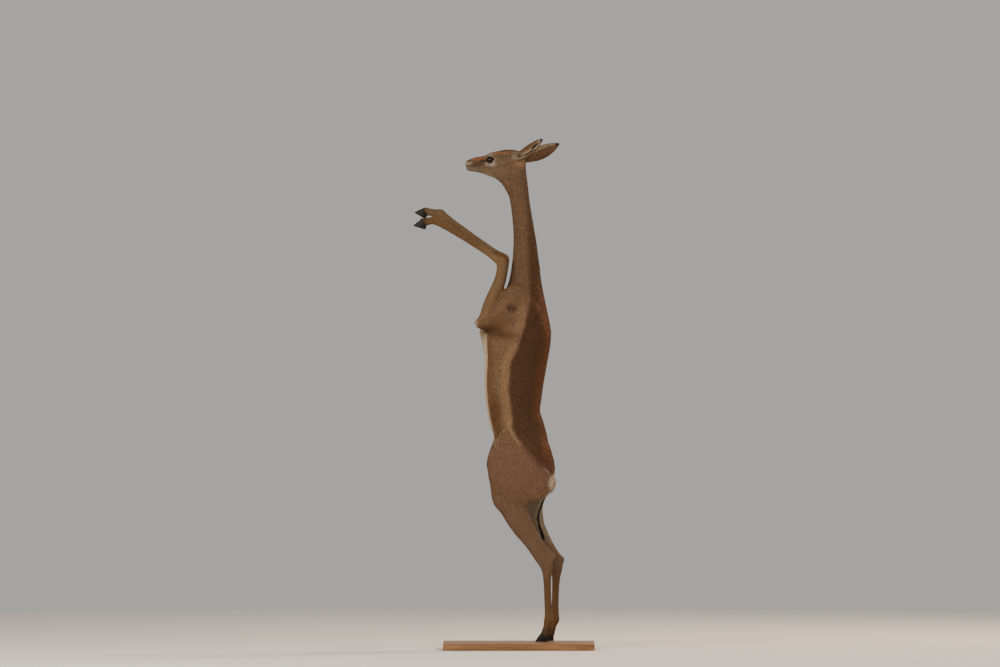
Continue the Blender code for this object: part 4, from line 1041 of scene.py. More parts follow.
def paint(mesh: bpy.types.Mesh, colours: Array) -> None:
    """Stores colours at the points of a mesh.

    Args:
        mesh: the mesh.
        colours: rows of linear colours.
    """
    layer = mesh.color_attributes.new(MARKINGS, "FLOAT_COLOR", "POINT")
    full = np.concatenate([colours, np.ones((len(colours), 1))], axis=1)
    layer.data.foreach_set("color", full.astype(np.float32).ravel())


def read(items: bpy.types.bpy_prop_collection, name: str, width: int, kind: type) -> Array:
    """Reads one value of every vertex, edge or face of a mesh.

    Args:
        items: the vertices, edges, faces or normals.
        name: the value's name.
        width: how many numbers a value has.
        kind: their type.

    Returns:
        Rows of numbers.
    """
    values = np.empty(len(items) * width, kind)
    items.foreach_get(name, values)
    return values.reshape(-1, width)


def points_of(mesh: bpy.types.Mesh) -> Array:
    """The points of a mesh as rows of coordinates."""
    return read(mesh.vertices, "co", 3, np.float32).astype(float)


def normals_of(mesh: bpy.types.Mesh) -> Array:
    """The directions out of a mesh at its points, as rows of unit vectors."""
    return read(mesh.vertex_normals, "vector", 3, np.float32).astype(float)


def corners_of(mesh: bpy.types.Mesh) -> Array:
    """The triangles of a mesh as rows of three point numbers."""
    return read(mesh.polygons, "vertices", 3, np.int32)


def move_points(mesh: bpy.types.Mesh, points: Array) -> None:
    """Moves the points of a mesh to new places."""
    mesh.vertices.foreach_set("co", points.astype(np.float32).ravel())
    mesh.update()


def triangle_count(mesh: bpy.types.Mesh) -> int:
    """How many triangles the faces of a mesh come to."""
    return len(mesh.loops) - 2 * len(mesh.polygons)


def node_shape(name: str) -> bmesh.types.BMesh:
    """A copy of one piece of the frame to work on, with points in the same place merged.

    Args:
        name: the piece.

    Returns:
        The copy.
    """
    shape = bmesh.new()
    shape.from_mesh(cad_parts[name].data)
    bmesh.ops.remove_doubles(shape, verts=shape.verts, dist=1e-5)
    return shape


def mesh_of(shape: bmesh.types.BMesh, name: str) -> bpy.types.Mesh:
    """Turns a worked shape into a mesh.

    Args:
        shape: the shape, which is freed.
        name: the mesh's name.

    Returns:
        The mesh.
    """
    mesh = bpy.data.meshes.new(name)
    shape.to_mesh(mesh)
    shape.free()
    return mesh


def absorb(shape: bmesh.types.BMesh, obj: bpy.types.Object) -> None:
    """Adds an object's surface to a shape and removes the object.

    Args:
        shape: the shape.
        obj: the object.
    """
    mesh = obj.data
    shape.from_mesh(mesh)
    bpy.data.objects.remove(obj)
    bpy.data.meshes.remove(mesh)


def neighbour_mean(points: Array, edges: Array) -> Array:
    """The mean of the points joined to each point by an edge.

    Args:
        points: rows of coordinates.
        edges: rows of two point numbers.

    Returns:
        Rows of coordinates.
    """
    both = np.concatenate([edges, edges[:, ::-1]])
    degree = np.maximum(np.bincount(both[:, 0], minlength=len(points)), 1)
    total = [np.bincount(both[:, 0], points[both[:, 1], i], len(points)) for i in range(3)]
    return np.stack(total, axis=1) / degree[:, None]


def relax(points: Array, edges: Array, rounds: int, weight: Array) -> Array:
    """Evens out a surface without shrinking it.

    Args:
        points: rows of coordinates.
        edges: rows of two point numbers.
        rounds: how many times to smooth and swell back.
        weight: how much each point may move, from 0 to 1.

    Returns:
        The new coordinates.
    """
    for _ in range(rounds):
        for factor in RELAX_FACTORS:
            points = points + factor * weight[:, None] * (neighbour_mean(points, edges) - points)
    return points


@dataclass(frozen=True)
class Crease:
    """A fold or ridge, the same on both sides of the body.

    Attributes:
        line: corners as x and z where it is seen from the side, or else as x, y outward and z.
        depth: how far it goes in, or out where negative.
        width: its half width.
    """

    line: tuple[tuple[float, ...], ...]
    depth: float
    width: float

    def inward(self, points: Array) -> Array:
        """How far points near the crease go in, their coordinates given like those of its line."""
        gap, _ = line_distance(points, np.array(self.line))
        return self.depth * np.exp(-(gap / self.width) ** 2)


CREASES = (
    Crease(((-0.078, 1.4460), (-0.100, 1.4100), (-0.120, 1.3850)), 0.0040, 0.0075),
    Crease(((-0.044, 1.4080), (-0.012, 1.3820), (0.010, 1.3500)), 0.0014, 0.0120),
    Crease(((-0.090, 0.8760), (-0.060, 0.9150), (-0.035, 0.9050), (0.004, 0.8400)), 0.0016, 0.0080),
    Crease(((0.092, 0.7350), (0.066, 0.6800), (0.030, 0.6350)), 0.0014, 0.0120),
    Crease(((-0.022, 1.8600), (-0.004, 1.7200), (0.006, 1.5600)), 0.0012, 0.0090),
)
FACE_CREASES = (
    Crease(MOUTH_LINE, 0.0022, 0.0016),
    Crease(NOSTRIL_LINE, 0.0030, 0.0028),
    Crease(tuple((x, y + 0.001, z + 0.004) for x, y, z in NOSTRIL_LINE), -0.0008, 0.0022),
)


@dataclass(frozen=True)
class Fillet:
    """A place where a sharp hollow is rounded out, the same on both sides of the body.

    Attributes:
        centre: x, y outward and z.
        radius: how far it reaches.
    """

    centre: tuple[float, float, float]
    radius: float


@dataclass(frozen=True)
class Swell:
    """A place where flesh or loose skin stands out further, the same on both sides of the body.

    Attributes:
        centre: x, y outward and z.
        reach: half sizes along x, y and z.
        amount: how far it stands out in the middle.
    """

    centre: tuple[float, float, float]
    reach: tuple[float, float, float]
    amount: float


SWELLS = (
    Swell((-0.142, 0.000, 1.304), (0.030, 0.090, 0.024), 0.013),
)
FILLETS = (
    Fillet((-0.145, 0.040, 1.305), 0.070),
    Fillet((-0.075, 0.075, 1.295), 0.055),
    Fillet((-0.012, 0.034, 2.010), 0.034),
    Fillet((-0.020, 0.070, 1.480), 0.050),
)


@dataclass
class Skin:
    """The one skin of the animal, from nose to coronets and tail.

    Attributes:
        body: the map of the parts.
        markings: the colours.
        finish: the finish of the skin.
        eye: the eyes.
        body_nodes: pieces of the frame that the coarse part of the skin closes.
        head_nodes: pieces that its fine part closes.
        plugs: balls that fill the gaps under the ears, as middle and radius.
        body_cell: grid size of the coarse part.
        head_cell: grid size of the fine part.
        seam: height at which the two parts of the skin meet.
        gap: how far each part is cut short of the seam before their rims are joined.
        swell: how far pieces are swollen so that they meet.
        tail_swell: how far the thin tail is swollen, so that the coarse grid holds it.
        head_triangles: triangles of the fine part.
        body_triangles: triangles of the coarse part.
        sharp: edges of the frame's pieces sharper than this stay sharp.
        round_above: height above which no edge of the head stays sharp.
        relaxing: how many times body, head and seam are evened out.
        fillet_rounds: how many times the fillets are filled.
        coat_depth: how deep the coat is on the body.
        thin_depth: how deep it is on head and legs.
        tail_depth: how deep it is along the tail, as rows of place and factor on the tail's swelling.
        coronet: how far the skin reaches into the hooves.
        mesh: the finished skin.
    """

    body: BodyMap
    markings: Markings
    finish: Hide
    eye: Eye = Eye()
    body_nodes: tuple[str, ...] = (
        "neck_lower", "torso_chest", "torso_belly", "pelvis", "thigh_left", "thigh_right", "shank_left",
        "shank_right", "hind_cannon_left", "hind_cannon_right", "hind_foot_left", "hind_foot_right",
        "forearm_left", "forearm_right", "fore_cannon_left", "fore_cannon_right", "fore_foot_left",
        "fore_foot_right", "tail",
    )
    head_nodes: tuple[str, ...] = ("head", "neck_upper", "ear_left", "ear_right")
    plugs: tuple[tuple[tuple[float, float, float], float], ...] = (
        ((-0.012, -0.036, 2.017), 0.0155),
        ((0.006, 0.0335, 2.010), 0.0150),
    )
    body_cell: float = 0.0042
    head_cell: float = 0.0014
    seam: float = 1.862
    gap: float = 0.002
    swell: float = 0.0003
    tail_swell: float = 0.0022
    head_triangles: int = 84000
    body_triangles: int = 104000
    sharp: float = math.radians(50)
    round_above: float = 1.93
    relaxing: tuple[int, int, int] = (8, 3, 10)
    fillet_rounds: int = 220
    coat_depth: float = 0.0012
    thin_depth: float = 0.0006
    tail_depth: tuple[tuple[float, float], ...] = ((0.0, 1.0), (0.12, 1.0), (0.30, 1.6), (0.50, 1.0))
    coronet: float = 0.0025
    mesh: bpy.types.Mesh | None = None

    def softened(self, name: str, levels: int) -> bpy.types.Object:
        """A rounder copy of one piece of the frame, its cut faces still flat.

        Args:
            name: the piece.
            levels: how many times its faces are divided.

        Returns:
            The copy.
        """
        shape = node_shape(name)
        bmesh.ops.recalc_face_normals(shape, faces=shape.faces)
        crease = shape.edges.layers.float.new("crease_edge")
        for edge in shape.edges:
            if len(edge.link_faces) == 2 and edge.calc_face_angle(0.0) > self.sharp:
                if name != "head" or edge.verts[0].co.z < self.round_above:
                    edge[crease] = 1.0
        obj = new_object(name + "_soft", mesh_of(shape, name + "_soft"))
        divide = obj.modifiers.new("divide", "SUBSURF")
        divide.levels = divide.render_levels = levels
        mesh = applied(obj).data
        swell = self.tail_swell if name == "tail" else self.swell
        move_points(mesh, points_of(mesh) + normals_of(mesh) * swell)
        return obj

    def closed(self, names: tuple[str, ...], levels: int, cell: float, plugs: tuple) -> bpy.types.Object:
        """One closed surface over several pieces.

        Args:
            names: the pieces.
            levels: how many times each is divided first.
            cell: the grid size of the new surface.
            plugs: balls that fill gaps inside, as middle and radius.

        Returns:
            The surface as an object.
        """
        shape = bmesh.new()
        for name in names:
            absorb(shape, self.softened(name, levels))
        for middle, radius in plugs:
            bmesh.ops.create_icosphere(shape, subdivisions=3, radius=radius,
                                       matrix=Matrix.Translation(middle))
        obj = new_object("closed", mesh_of(shape, "closed"))
        remesh = obj.modifiers.new("close", "REMESH")
        remesh.mode = "VOXEL"
        remesh.voxel_size = cell
        return applied(obj)

    def thinned(self, obj: bpy.types.Object, triangles: int) -> bpy.types.Object:
        """Takes triangles out where the surface is flat.

        Args:
            obj: the surface.
            triangles: how many to keep.

        Returns:
            The same object.
        """
        now = triangle_count(obj.data)
        if now > triangles:
            thin = obj.modifiers.new("thin", "DECIMATE")
            thin.ratio = triangles / now
            applied(obj)
        return obj

    def cut(self, obj: bpy.types.Object, height: float, keep_above: bool) -> bmesh.types.BMesh:
        """The part of a surface above or below a level.

        Args:
            obj: the surface, which is removed.
            height: the level.
            keep_above: whether the part above stays.

        Returns:
            The kept part.
        """
        shape = bmesh.new()
        absorb(shape, obj)
        geometry = list(shape.verts) + list(shape.edges) + list(shape.faces)
        bmesh.ops.bisect_plane(shape, geom=geometry, dist=1e-6, plane_co=(0.0, 0.0, height),
                               plane_no=(0.0, 0.0, 1.0), clear_inner=keep_above, clear_outer=not keep_above)
        return shape

    def build(self) -> bpy.types.Object:
        """Makes the skin.

        Returns:
            The skin as an object.
        """
        lower = self.closed(self.body_nodes + ("neck_upper",), 2, self.body_cell, ())
        self.thinned(lower, self.body_triangles)
        upper = self.closed(self.head_nodes, 2, self.head_cell * (1.0), self.plugs)
        self.thinned(upper, self.head_triangles // (1))
        top = mesh_of(self.cut(upper, self.seam + self.gap, True), "part")
        shape = self.cut(lower, self.seam - self.gap, False)
        shape.from_mesh(top)
        bpy.data.meshes.remove(top)
        rim = [edge for edge in shape.edges if len(edge.link_faces) == 1]
        rim = [edge for edge in rim if abs(edge.verts[0].co.z - self.seam) < 2 * self.gap]
        bmesh.ops.bridge_loops(shape, edges=rim)
        bmesh.ops.triangulate(shape, faces=[face for face in shape.faces if len(face.verts) > 3])
        bmesh.ops.recalc_face_normals(shape, faces=shape.faces)
        self.mesh = mesh_of(shape, "skin")
        self.shape(self.mesh)
        smooth(self.mesh)
        points, normals = points_of(self.mesh), normals_of(self.mesh)
        paint(self.mesh, self.markings.colours(points, normals))
        self.store_lie(self.mesh, points)
        obj = new_object("skin", self.mesh, self.finish)
        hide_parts(*self.body_nodes, *self.head_nodes)
        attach(obj, BODY)
        return obj

    def shape(self, mesh: bpy.types.Mesh) -> None:
        """Evens the surface, sinks it by the depth of the coat and presses in folds and features.

        Args:
            mesh: the skin, which is changed.
        """
        edges = read(mesh.edges, "vertices", 2, np.int32)
        points = points_of(mesh)
        # Body, head and the seam between them are evened out one after the other.
        fine = step_between(1.85, 1.90, points[:, 2])
        body_rounds, head_rounds, seam_rounds = self.relaxing
        points = relax(points, edges, body_rounds, 1.0 - fine)
        points = relax(points, edges, head_rounds, fine)
        seam = step_between(0.03, 0.01, np.abs(points[:, 2] - self.seam))
        points = relax(points, edges, seam_rounds, seam)
        move_points(mesh, points)
        # Loose skin stands out and sharp hollows are rounded.
        sided, out = one_side(points), normals_of(mesh)
        for swell in SWELLS:
            level = np.linalg.norm((sided - swell.centre) / swell.reach, axis=1)
            points = points + out * (swell.amount * np.exp(-level ** 2))[:, None]
        move_points(mesh, points)
        points = self.round_out(points, normals_of(mesh), edges)
        move_points(mesh, points)
        # The skin sinks by the depth of the coat and reaches into the hooves.
        normals = normals_of(mesh)
        place = self.body.locate(points)
        points = points - normals * self.depth(place)[:, None]
        reach = place.on(*FORELEGS, *HINDLEGS) * step_between(0.94, 1.0, place.along) * self.coronet
        points = points + place.way * reach[:, None]
        move_points(mesh, self.pressed(points, normals))

    def round_out(self, points: Array, normals: Array, edges: Array) -> Array:
        """Fills sharp hollows at the fillets without taking anything off the ridges beside them.

        Args:
            points: rows of coordinates.
            normals: the directions out of the skin.
            edges: rows of two point numbers.

        Returns:
            The new coordinates.
        """
        sided = one_side(points)
        weight = np.zeros(len(points))
        for fillet in FILLETS:
            gap = np.linalg.norm(sided - fillet.centre, axis=1)
            weight = np.maximum(weight, step_between(1.0, 0.5, gap / fillet.radius))
        near = np.flatnonzero(weight > 0)
        number = np.full(len(points), -1)
        number[near] = np.arange(len(near))
        local = number[edges[(number[edges] >= 0).all(axis=1)]]
        out, moved = normals[near], points[near]
        for _ in range(self.fillet_rounds):
            lift = np.maximum(((neighbour_mean(moved, local) - moved) * out).sum(1), 0.0)
            moved = moved + out * (lift * weight[near])[:, None]
        filled = points.copy()
        filled[near] = moved
        return filled

    def depth(self, place: Placement) -> Array:
        """How deep the coat is over each point.

        Args:
            place: the placement of the points.

        Returns:
            Depths in metres.
        """
        thin = place.on(Part.HEAD, *FORELEGS, *HINDLEGS)
        short = np.where(thin, self.thin_depth, self.coat_depth) * ~place.on(*EAR_PARTS)
        tail = curve(self.tail_depth, place.along) * self.tail_swell
        return np.where(place.on(Part.TAIL), tail, short)

    def pressed(self, points: Array, normals: Array) -> Array:
        """Presses in the folds of the body, the mouth and the nostrils, and raises the rims of the lids.

        Args:
            points: rows of coordinates.
            normals: the directions out of the skin.

        Returns:
            The new coordinates.
        """
        outer = step_between(0.15, 0.6, normals[:, 1] * np.sign(points[:, 1]))
        for crease in CREASES:
            points = points - normals * (crease.inward(points[:, ::2]) * outer)[:, None]
        moved = -sum(crease.inward(one_side(points)) for crease in FACE_CREASES)
        for sign in SIDES:
            level, distance, _, lift = self.eye.level(points, sign)
            near = (np.sign(points[:, 1]) == sign) & (distance < self.eye.radius + 0.012)
            moved += near * 0.0008 * np.exp(-((level - 1.15) / 0.12) ** 2)
            moved -= near * 0.0013 * np.exp(-((level - 1.65) / 0.14) ** 2) * step_between(0.0, 0.5, lift)
            moved -= near * 0.0007 * np.exp(-((level - 1.60) / 0.16) ** 2) * step_between(0.0, -0.5, lift)
        return points + normals * moved[:, None]

    def store_lie(self, mesh: bpy.types.Mesh, points: Array) -> None:
        """Stores coordinates turned so that hair lies along the third of them.

        Args:
            mesh: the skin.
            points: its points.
        """
        way = self.body.locate(points).way
        axes = np.array([unit(np.array(axis.stations[-1][:3]) - axis.stations[0][:3]) for axis in AXES])
        nearest = axes[np.argmax(np.abs(way @ axes.T), axis=1)]
        side = unit(np.cross(nearest, (0.05, 1.0, 0.03)))
        across = np.cross(nearest, side)
        rows = np.stack([(points * side).sum(1), (points * across).sum(1), (points * nearest).sum(1)], axis=1)
        layer = mesh.attributes.new(LIE, "FLOAT_VECTOR", "POINT")
        layer.data.foreach_set("vector", rows.astype(np.float32).ravel())


# Coat.


@dataclass(frozen=True)
class TuftStyle:
    """Hair of one part of the body.

    Attributes:
        length: length of a tuft.
        width: its width at the middle.
        lift: how far its tip stands off the skin, as a share of the length.
        density: tufts to a square metre.
    """

    length: float
    width: float
    lift: float
    density: float


STYLES = {part: style for parts, style in (
    ((Part.HEAD,), TuftStyle(0.0062, 0.0009, 0.09, 150000)),
    ((Part.NECK,), TuftStyle(0.0105, 0.0011, 0.07, 80000)),
    ((Part.TRUNK,), TuftStyle(0.0130, 0.0012, 0.04, 62000)),
    ((Part.RUMP,), TuftStyle(0.0130, 0.0012, 0.05, 62000)),
    (EAR_PARTS, TuftStyle(0.0065, 0.0008, 0.14, 120000)),
    (ARMS, TuftStyle(0.0110, 0.0012, 0.07, 70000)),
    (FORELEGS, TuftStyle(0.0080, 0.0010, 0.07, 95000)),
    (THIGHS, TuftStyle(0.0125, 0.0012, 0.04, 62000)),
    (HINDLEGS, TuftStyle(0.0085, 0.0010, 0.07, 84000)),
    ((Part.TAIL,), TuftStyle(0.0100, 0.0010, 0.10, 200000)),
) for part in parts}


@dataclass(frozen=True)
class Brush:
    """A place where the hair is longer and stands off, the same on both sides of the body.

    Attributes:
        centre: x, y outward and z.
        radius: how far it reaches.
        longer: a factor on the length in its middle.
        lift: what it adds to the lift.
    """

    centre: tuple[float, float, float]
    radius: float
    longer: float
    lift: float


BRUSHES = (
    Brush((-0.060, 0.058, 1.606), 0.030, 1.9, 0.22),
    Brush((0.146, 0.000, 0.684), 0.052, 2.3, 0.24),
    Brush((-0.186, 0.074, 1.336), 0.022, 2.2, 0.26),
    Brush((-0.005, 0.034, 2.020), 0.026, 2.0, 0.22),
    Brush((-0.392, 0.046, 1.765), 0.026, 1.3, 0.10),
    Brush((0.118, 0.062, 0.062), 0.030, 1.3, 0.10),
)
COAT_PIECES = {
    "coat_head": (Part.HEAD,),
    "coat_ears": EAR_PARTS,
    "coat_neck": (Part.NECK,),
    "coat_trunk": (Part.TRUNK,),
    "coat_rump": (Part.RUMP, Part.TAIL),
    "coat_forelegs": ARMS + FORELEGS,
    "coat_thighs": THIGHS,
    "coat_hindlegs": HINDLEGS,
}
# The seven points of a tuft are left, right and top at its root, the same at its bend, and the tip.
TUFT_FACES = np.array(((0, 2, 5), (0, 5, 3), (2, 1, 4), (2, 4, 5), (1, 0, 3), (1, 3, 4),
                       (3, 5, 6), (5, 4, 6), (4, 3, 6)))
# Colour factors on the seven points: the root darker as painted shade under the overlapping hair, the tip a
# little lighter.
TUFT_ROOT_SHADE = np.array((0.90, 0.90, 0.90, 1.0, 1.0, 1.0, 1.08))
TUFT_UNWRAP = np.array(((-.3, -.5), (.3, -.5), (0, -.5), (-.5, 0), (.5, 0), (0, 0), (0, .5)))


@dataclass
class Tufts:
    """Roots of tufts with all that shapes them.

    Attributes:
        roots: where they leave the skin.
        normals: the directions out of the skin.
        ways: the directions that they lie in, along the skin.
        lengths: their lengths.
        widths: their widths.
        lifts: how far the tips stand off, as shares of the lengths.
        colours: linear colours.
        unwrapped: their places on the unwrap.
    """

    roots: Array
    normals: Array
    ways: Array
    lengths: Array
    widths: Array
    lifts: Array
    colours: Array
    unwrapped: Array


@dataclass
class Coat:
    """Grows tufts over the skin.

    Attributes:
        skin: the skin.
        body: the map of the parts.
        markings: the colours.
        finish: the finish of hair.
        seed: starts the chances.
        most: the most triangles in one piece.
        patch: the size of a tuft on the unwrap.
        sunk: how deep the roots go into the skin.
        bend: the share of its length at which a tuft bends.
        rise: how far bend and tip stand off, as shares of the lift.
        root_width: the width at the root, as a share of the width at the bend.
        thickness: the thickness, as a share of half the width.
        stray: how far the lie of a tuft strays.
        sizes: the least and greatest factor on a tuft's length.
        tones: the same on its colour.
        lifts: the same on its lift.
        chance: the chances.
        tree: finds the nearest place on the skin.
    """

    skin: Skin
    body: BodyMap
    markings: Markings
    finish: Hair
    seed: int = 11
    most: int = 190000
    patch: float = 0.003
    quick_share: float = 0.3
    sunk: float = 0.0006
    bend: float = 0.45
    rise: tuple[float, float] = (0.75, 0.85)
    root_width: float = 0.8
    thickness: float = 0.55
    stray: float = 0.12
    sizes: tuple[float, float] = (0.75, 1.25)
    tones: tuple[float, float] = (0.88, 1.14)
    lifts: tuple[float, float] = (0.6, 1.5)
    chance: np.random.Generator = field(init=False)
    tree: BVHTree | None = None

    def __post_init__(self) -> None:
        """Starts the chances."""
        self.chance = np.random.default_rng(self.seed)

    def sample(self) -> Tufts:
        """Chooses roots all over the skin, as dense as each part wants them.

        Returns:
            The tufts.
        """
        mesh = self.skin.mesh
        points, normals, corners = points_of(mesh), normals_of(mesh), corners_of(mesh)
        a, b, c = (points[corners[:, i]] for i in range(3))
        area = np.linalg.norm(np.cross(b - a, c - a), axis=1) / 2
        middle = (a + b + c) / 3
        place = self.body.locate(middle)
        density = np.array([STYLES[part].density for part in Part])[place.part]
        density = density * np.where(place.on(Part.TAIL), step_between(0.34, 0.26, place.along), 1.0)
        density = density * self.bare(middle)
        expected = area * density * 1.0
        count = np.floor(expected + self.chance.random(len(expected))).astype(int)
        face = np.repeat(np.arange(len(count)), count)
        share = np.sqrt(self.chance.random(len(face)))[:, None]
        other = self.chance.random(len(face))[:, None]
        weights = (1 - share, share * (1 - other), share * other)
        roots = sum(w * points[corners[face, i]] for i, w in enumerate(weights))
        out = unit(sum(w * normals[corners[face, i]] for i, w in enumerate(weights)))
        return self.dress(roots, out)

    def bare(self, points: Array) -> Array:
        """How much hair grows at points near the eyes, mouth and nostrils.

        Args:
            points: rows of coordinates.

        Returns:
            Factors from 0 to 1.
        """
        mouth, nostril = muzzle_gaps(points)
        kept = step_between(0.0015, 0.0035, mouth) * step_between(0.003, 0.006, nostril)
        kept *= 1 - (points[:, 2] > 1.95) * step_between(-0.2110, -0.2185, points[:, 0])
        for sign in SIDES:
            level, distance, _, _ = self.skin.eye.level(points, sign)
            near = (np.sign(points[:, 1]) == sign) & (distance < self.skin.eye.radius + 0.010)
            kept = np.where(near, kept * step_between(1.20, 1.36, level), kept)
        return kept

    def dress(self, roots: Array, normals: Array) -> Tufts:
        """Gives roots their lie, length and colour.

        Args:
            roots: where the tufts leave the skin.
            normals: the directions out of the skin.

        Returns:
            The tufts.
        """
        place = self.body.locate(roots)
        ways = place.way + self.chance.normal(0.0, self.stray, roots.shape)
        ways = unit(ways - (ways * normals).sum(1)[:, None] * normals)
        table = np.array([(s.length, s.width, s.lift) for s in (STYLES[part] for part in Part)])
        length, width, lift = table[place.part].T
        muzzle = step_between(-0.10, -0.20, roots[:, 0]) * place.on(Part.HEAD)
        feet = step_between(0.35, 0.08, roots[:, 2])
        length = length * (1 - 0.45 * muzzle) * (1 - 0.25 * feet)
        sided = one_side(roots)
        for brush in BRUSHES:
            near = step_between(1.0, 0.3, np.linalg.norm(sided - brush.centre, axis=1) / brush.radius)
            length = length * (1 + (brush.longer - 1) * near)
            lift = lift + brush.lift * near
        size = self.chance.uniform(*self.sizes, len(roots))
        colours = self.markings.colours(roots, normals)
        colours = colours * self.chance.uniform(*self.tones, len(roots))[:, None]
        lift = lift * self.chance.uniform(*self.lifts, len(roots))
        width = width * (1 - 0.3 * muzzle)
        return Tufts(roots, normals, ways, length * size, width, lift, colours, self.body.unwrap(place))

    def drape(self, points: Array, normals: Array) -> tuple[Array, Array]:
        """Moves points onto the skin.

        Args:
            points: rows of coordinates near the skin.
            normals: the directions out of the skin near them.

        Returns:
            The points on the skin and the directions out of it there, mixed with those given.
        """
        if self.tree is None:
            mesh = self.skin.mesh
            self.tree = BVHTree.FromPolygons(points_of(mesh).tolist(), corners_of(mesh).tolist())
        found = [self.tree.find_nearest(point)[:2] for point in points.tolist()]
        places = np.array([place[:] for place, _ in found])
        return places, unit(np.array([normal[:] for _, normal in found]) + normals)

    def piece(self, name: str, tufts: Tufts, slot: str, on_skin: bool = True) -> bpy.types.Object:
        """Builds tufts as one mesh of thin three-sided spikes with a bend.

        Args:
            name: the piece's name.
            tufts: the tufts.
            slot: not used.
            on_skin: whether the tufts lie along the skin.

        Returns:
            The piece.
        """
        across = np.cross(tufts.normals, tufts.ways)
        half = tufts.widths[:, None] / 2
        length = tufts.lengths[:, None]
        stand = length * tufts.lifts[:, None]
        low = tufts.roots - tufts.normals * self.sunk
        mid = tufts.roots + tufts.ways * length * self.bend
        tip = tufts.roots + tufts.ways * length
        mid_out = tip_out = tufts.normals
        if on_skin:
            mid, mid_out = self.drape(mid, tufts.normals)
            tip, tip_out = self.drape(tip, tufts.normals)
        mid = mid + mid_out * stand * self.rise[0]
        tip = tip + tip_out * stand * self.rise[1]
        thick, side = half * self.thickness, across * half * self.root_width
        ring = [low - side, low + side, low + tufts.normals * thick * 2,
                mid - across * half, mid + across * half, mid + mid_out * thick, tip]
        points = np.stack(ring, axis=1).reshape(-1, 3)
        first = np.arange(len(tufts.roots))[:, None, None] * len(ring)
        triangles = (first + TUFT_FACES[None]).reshape(-1, 3)
        mesh = triangle_mesh(name, points, triangles)
        paint(mesh, (tufts.colours[:, None, :] * TUFT_ROOT_SHADE[None, :, None]).reshape(-1, 3))
        unwrapped = (tufts.unwrapped[:, None, :] + (TUFT_UNWRAP * self.patch)[None]).reshape(-1, 2)
        layer = mesh.uv_layers.new(name=COAT_UV)
        layer.data.foreach_set("uv", unwrapped[triangles.ravel()].astype(np.float32).ravel())
        obj = new_object(name, mesh, self.finish)
        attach(obj, BODY)
        return obj

    def build(self) -> list[bpy.types.Object]:
        """Grows the whole short coat.

        Returns:
            Its pieces.
        """
        tufts = self.sample()
        placement = self.body.locate(tufts.roots)
        made = []
        for name, parts in COAT_PIECES.items():
            chosen = np.flatnonzero(placement.on(*parts))
            pieces = max(1, math.ceil(len(chosen) * len(TUFT_FACES) / self.most))
            order = np.argsort(tufts.roots[chosen, 2], kind="stable")
            for number, group in enumerate(np.array_split(chosen[order], pieces)):
                chosen_tufts = Tufts(*(getattr(tufts, key)[group] for key in Tufts.__dataclass_fields__))
                label = name if pieces == 1 else f"{name}_{number + 1}"
                made.append(self.piece(label, chosen_tufts, "coat_tan"))
        return made


# Eyes, hooves, tail hair and base.


@dataclass
class Eyes:
    """Both eyeballs.

    Attributes:
        finish: their finish.
        eye: their places and sizes.
        iris: sRGB colour of the iris.
        rim: sRGB colour of the ring outside it.
        black: sRGB colour of the pupil.
        slit: half length and half height of the pupil, as shares of the ball's radius.
    """

    finish: WetEye
    eye: Eye = Eye()
    iris: str = "1a100b"
    rim: str = "1a1512"
    black: str = "050404"
    slit: tuple[float, float] = (0.42, 0.26)

    def build(self) -> list[bpy.types.Object]:
        """Makes the eyeballs with iris and long level pupil.

        Returns:
            The two balls.
        """
        made = []
        for name, sign in zip(("left", "right"), SIDES):
            centre, look, _, _ = self.eye.axes(sign)
            shape = bmesh.new()
            bmesh.ops.create_uvsphere(shape, u_segments=64, v_segments=40, radius=self.eye.radius - 0.0002,
                                      matrix=Matrix.Translation(centre))
            mesh = mesh_of(shape, "eyeball_" + name)
            smooth(mesh)
            local = unit(points_of(mesh) - centre)
            angle = np.arccos(np.clip(local @ look, -1, 1))
            level = unit(np.array((0.0, 0.0, 1.0)) - look[2] * look)
            flat = np.cross(look, level)
            pupil = np.sqrt((local @ flat / self.slit[0]) ** 2 + (local @ level / self.slit[1]) ** 2)
            colours = np.tile(linear(self.iris), (len(local), 1))
            colours += step_between(0.72, 0.86, angle)[:, None] * (linear(self.rim) - colours)
            dark = step_between(1.1, 0.9, pupil) * (local @ look > 0)
            colours += dark[:, None] * (linear(self.black) - colours)
            paint(mesh, colours)
            obj = new_object("eyeball_" + name, mesh, self.finish)
            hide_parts("eye_" + name)
            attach(obj, BODY)
            made.append(obj)
        return made


@dataclass
class Hooves:
    """The eight claws of horn.

    Attributes:
        finish: their finish.
        round_over: width of the soft edges.
        sharp: edges sharper than this are softened.
    """

    finish: Horn
    round_over: float = 0.0018
    sharp: float = math.radians(40)

    def build(self) -> list[bpy.types.Object]:
        """Makes each claw from the frame's, with soft edges.

        Returns:
            The claws.
        """
        made = []
        for node in sorted(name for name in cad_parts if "_hoof_" in name):
            shape = node_shape(node)
            bmesh.ops.dissolve_limit(shape, angle_limit=math.radians(1), verts=shape.verts, edges=shape.edges)
            obj = new_object("horn_" + node, mesh_of(shape, "horn_" + node))
            bevel = obj.modifiers.new("soft", "BEVEL")
            bevel.width = self.round_over
            bevel.segments = 3
            bevel.angle_limit = self.sharp
            mesh = applied(obj).data
            smooth(mesh)
            mesh.materials.clear()
            mesh.materials.append(self.finish.material())
            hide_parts(node)
            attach(obj, BODY)
            made.append(obj)
        return made


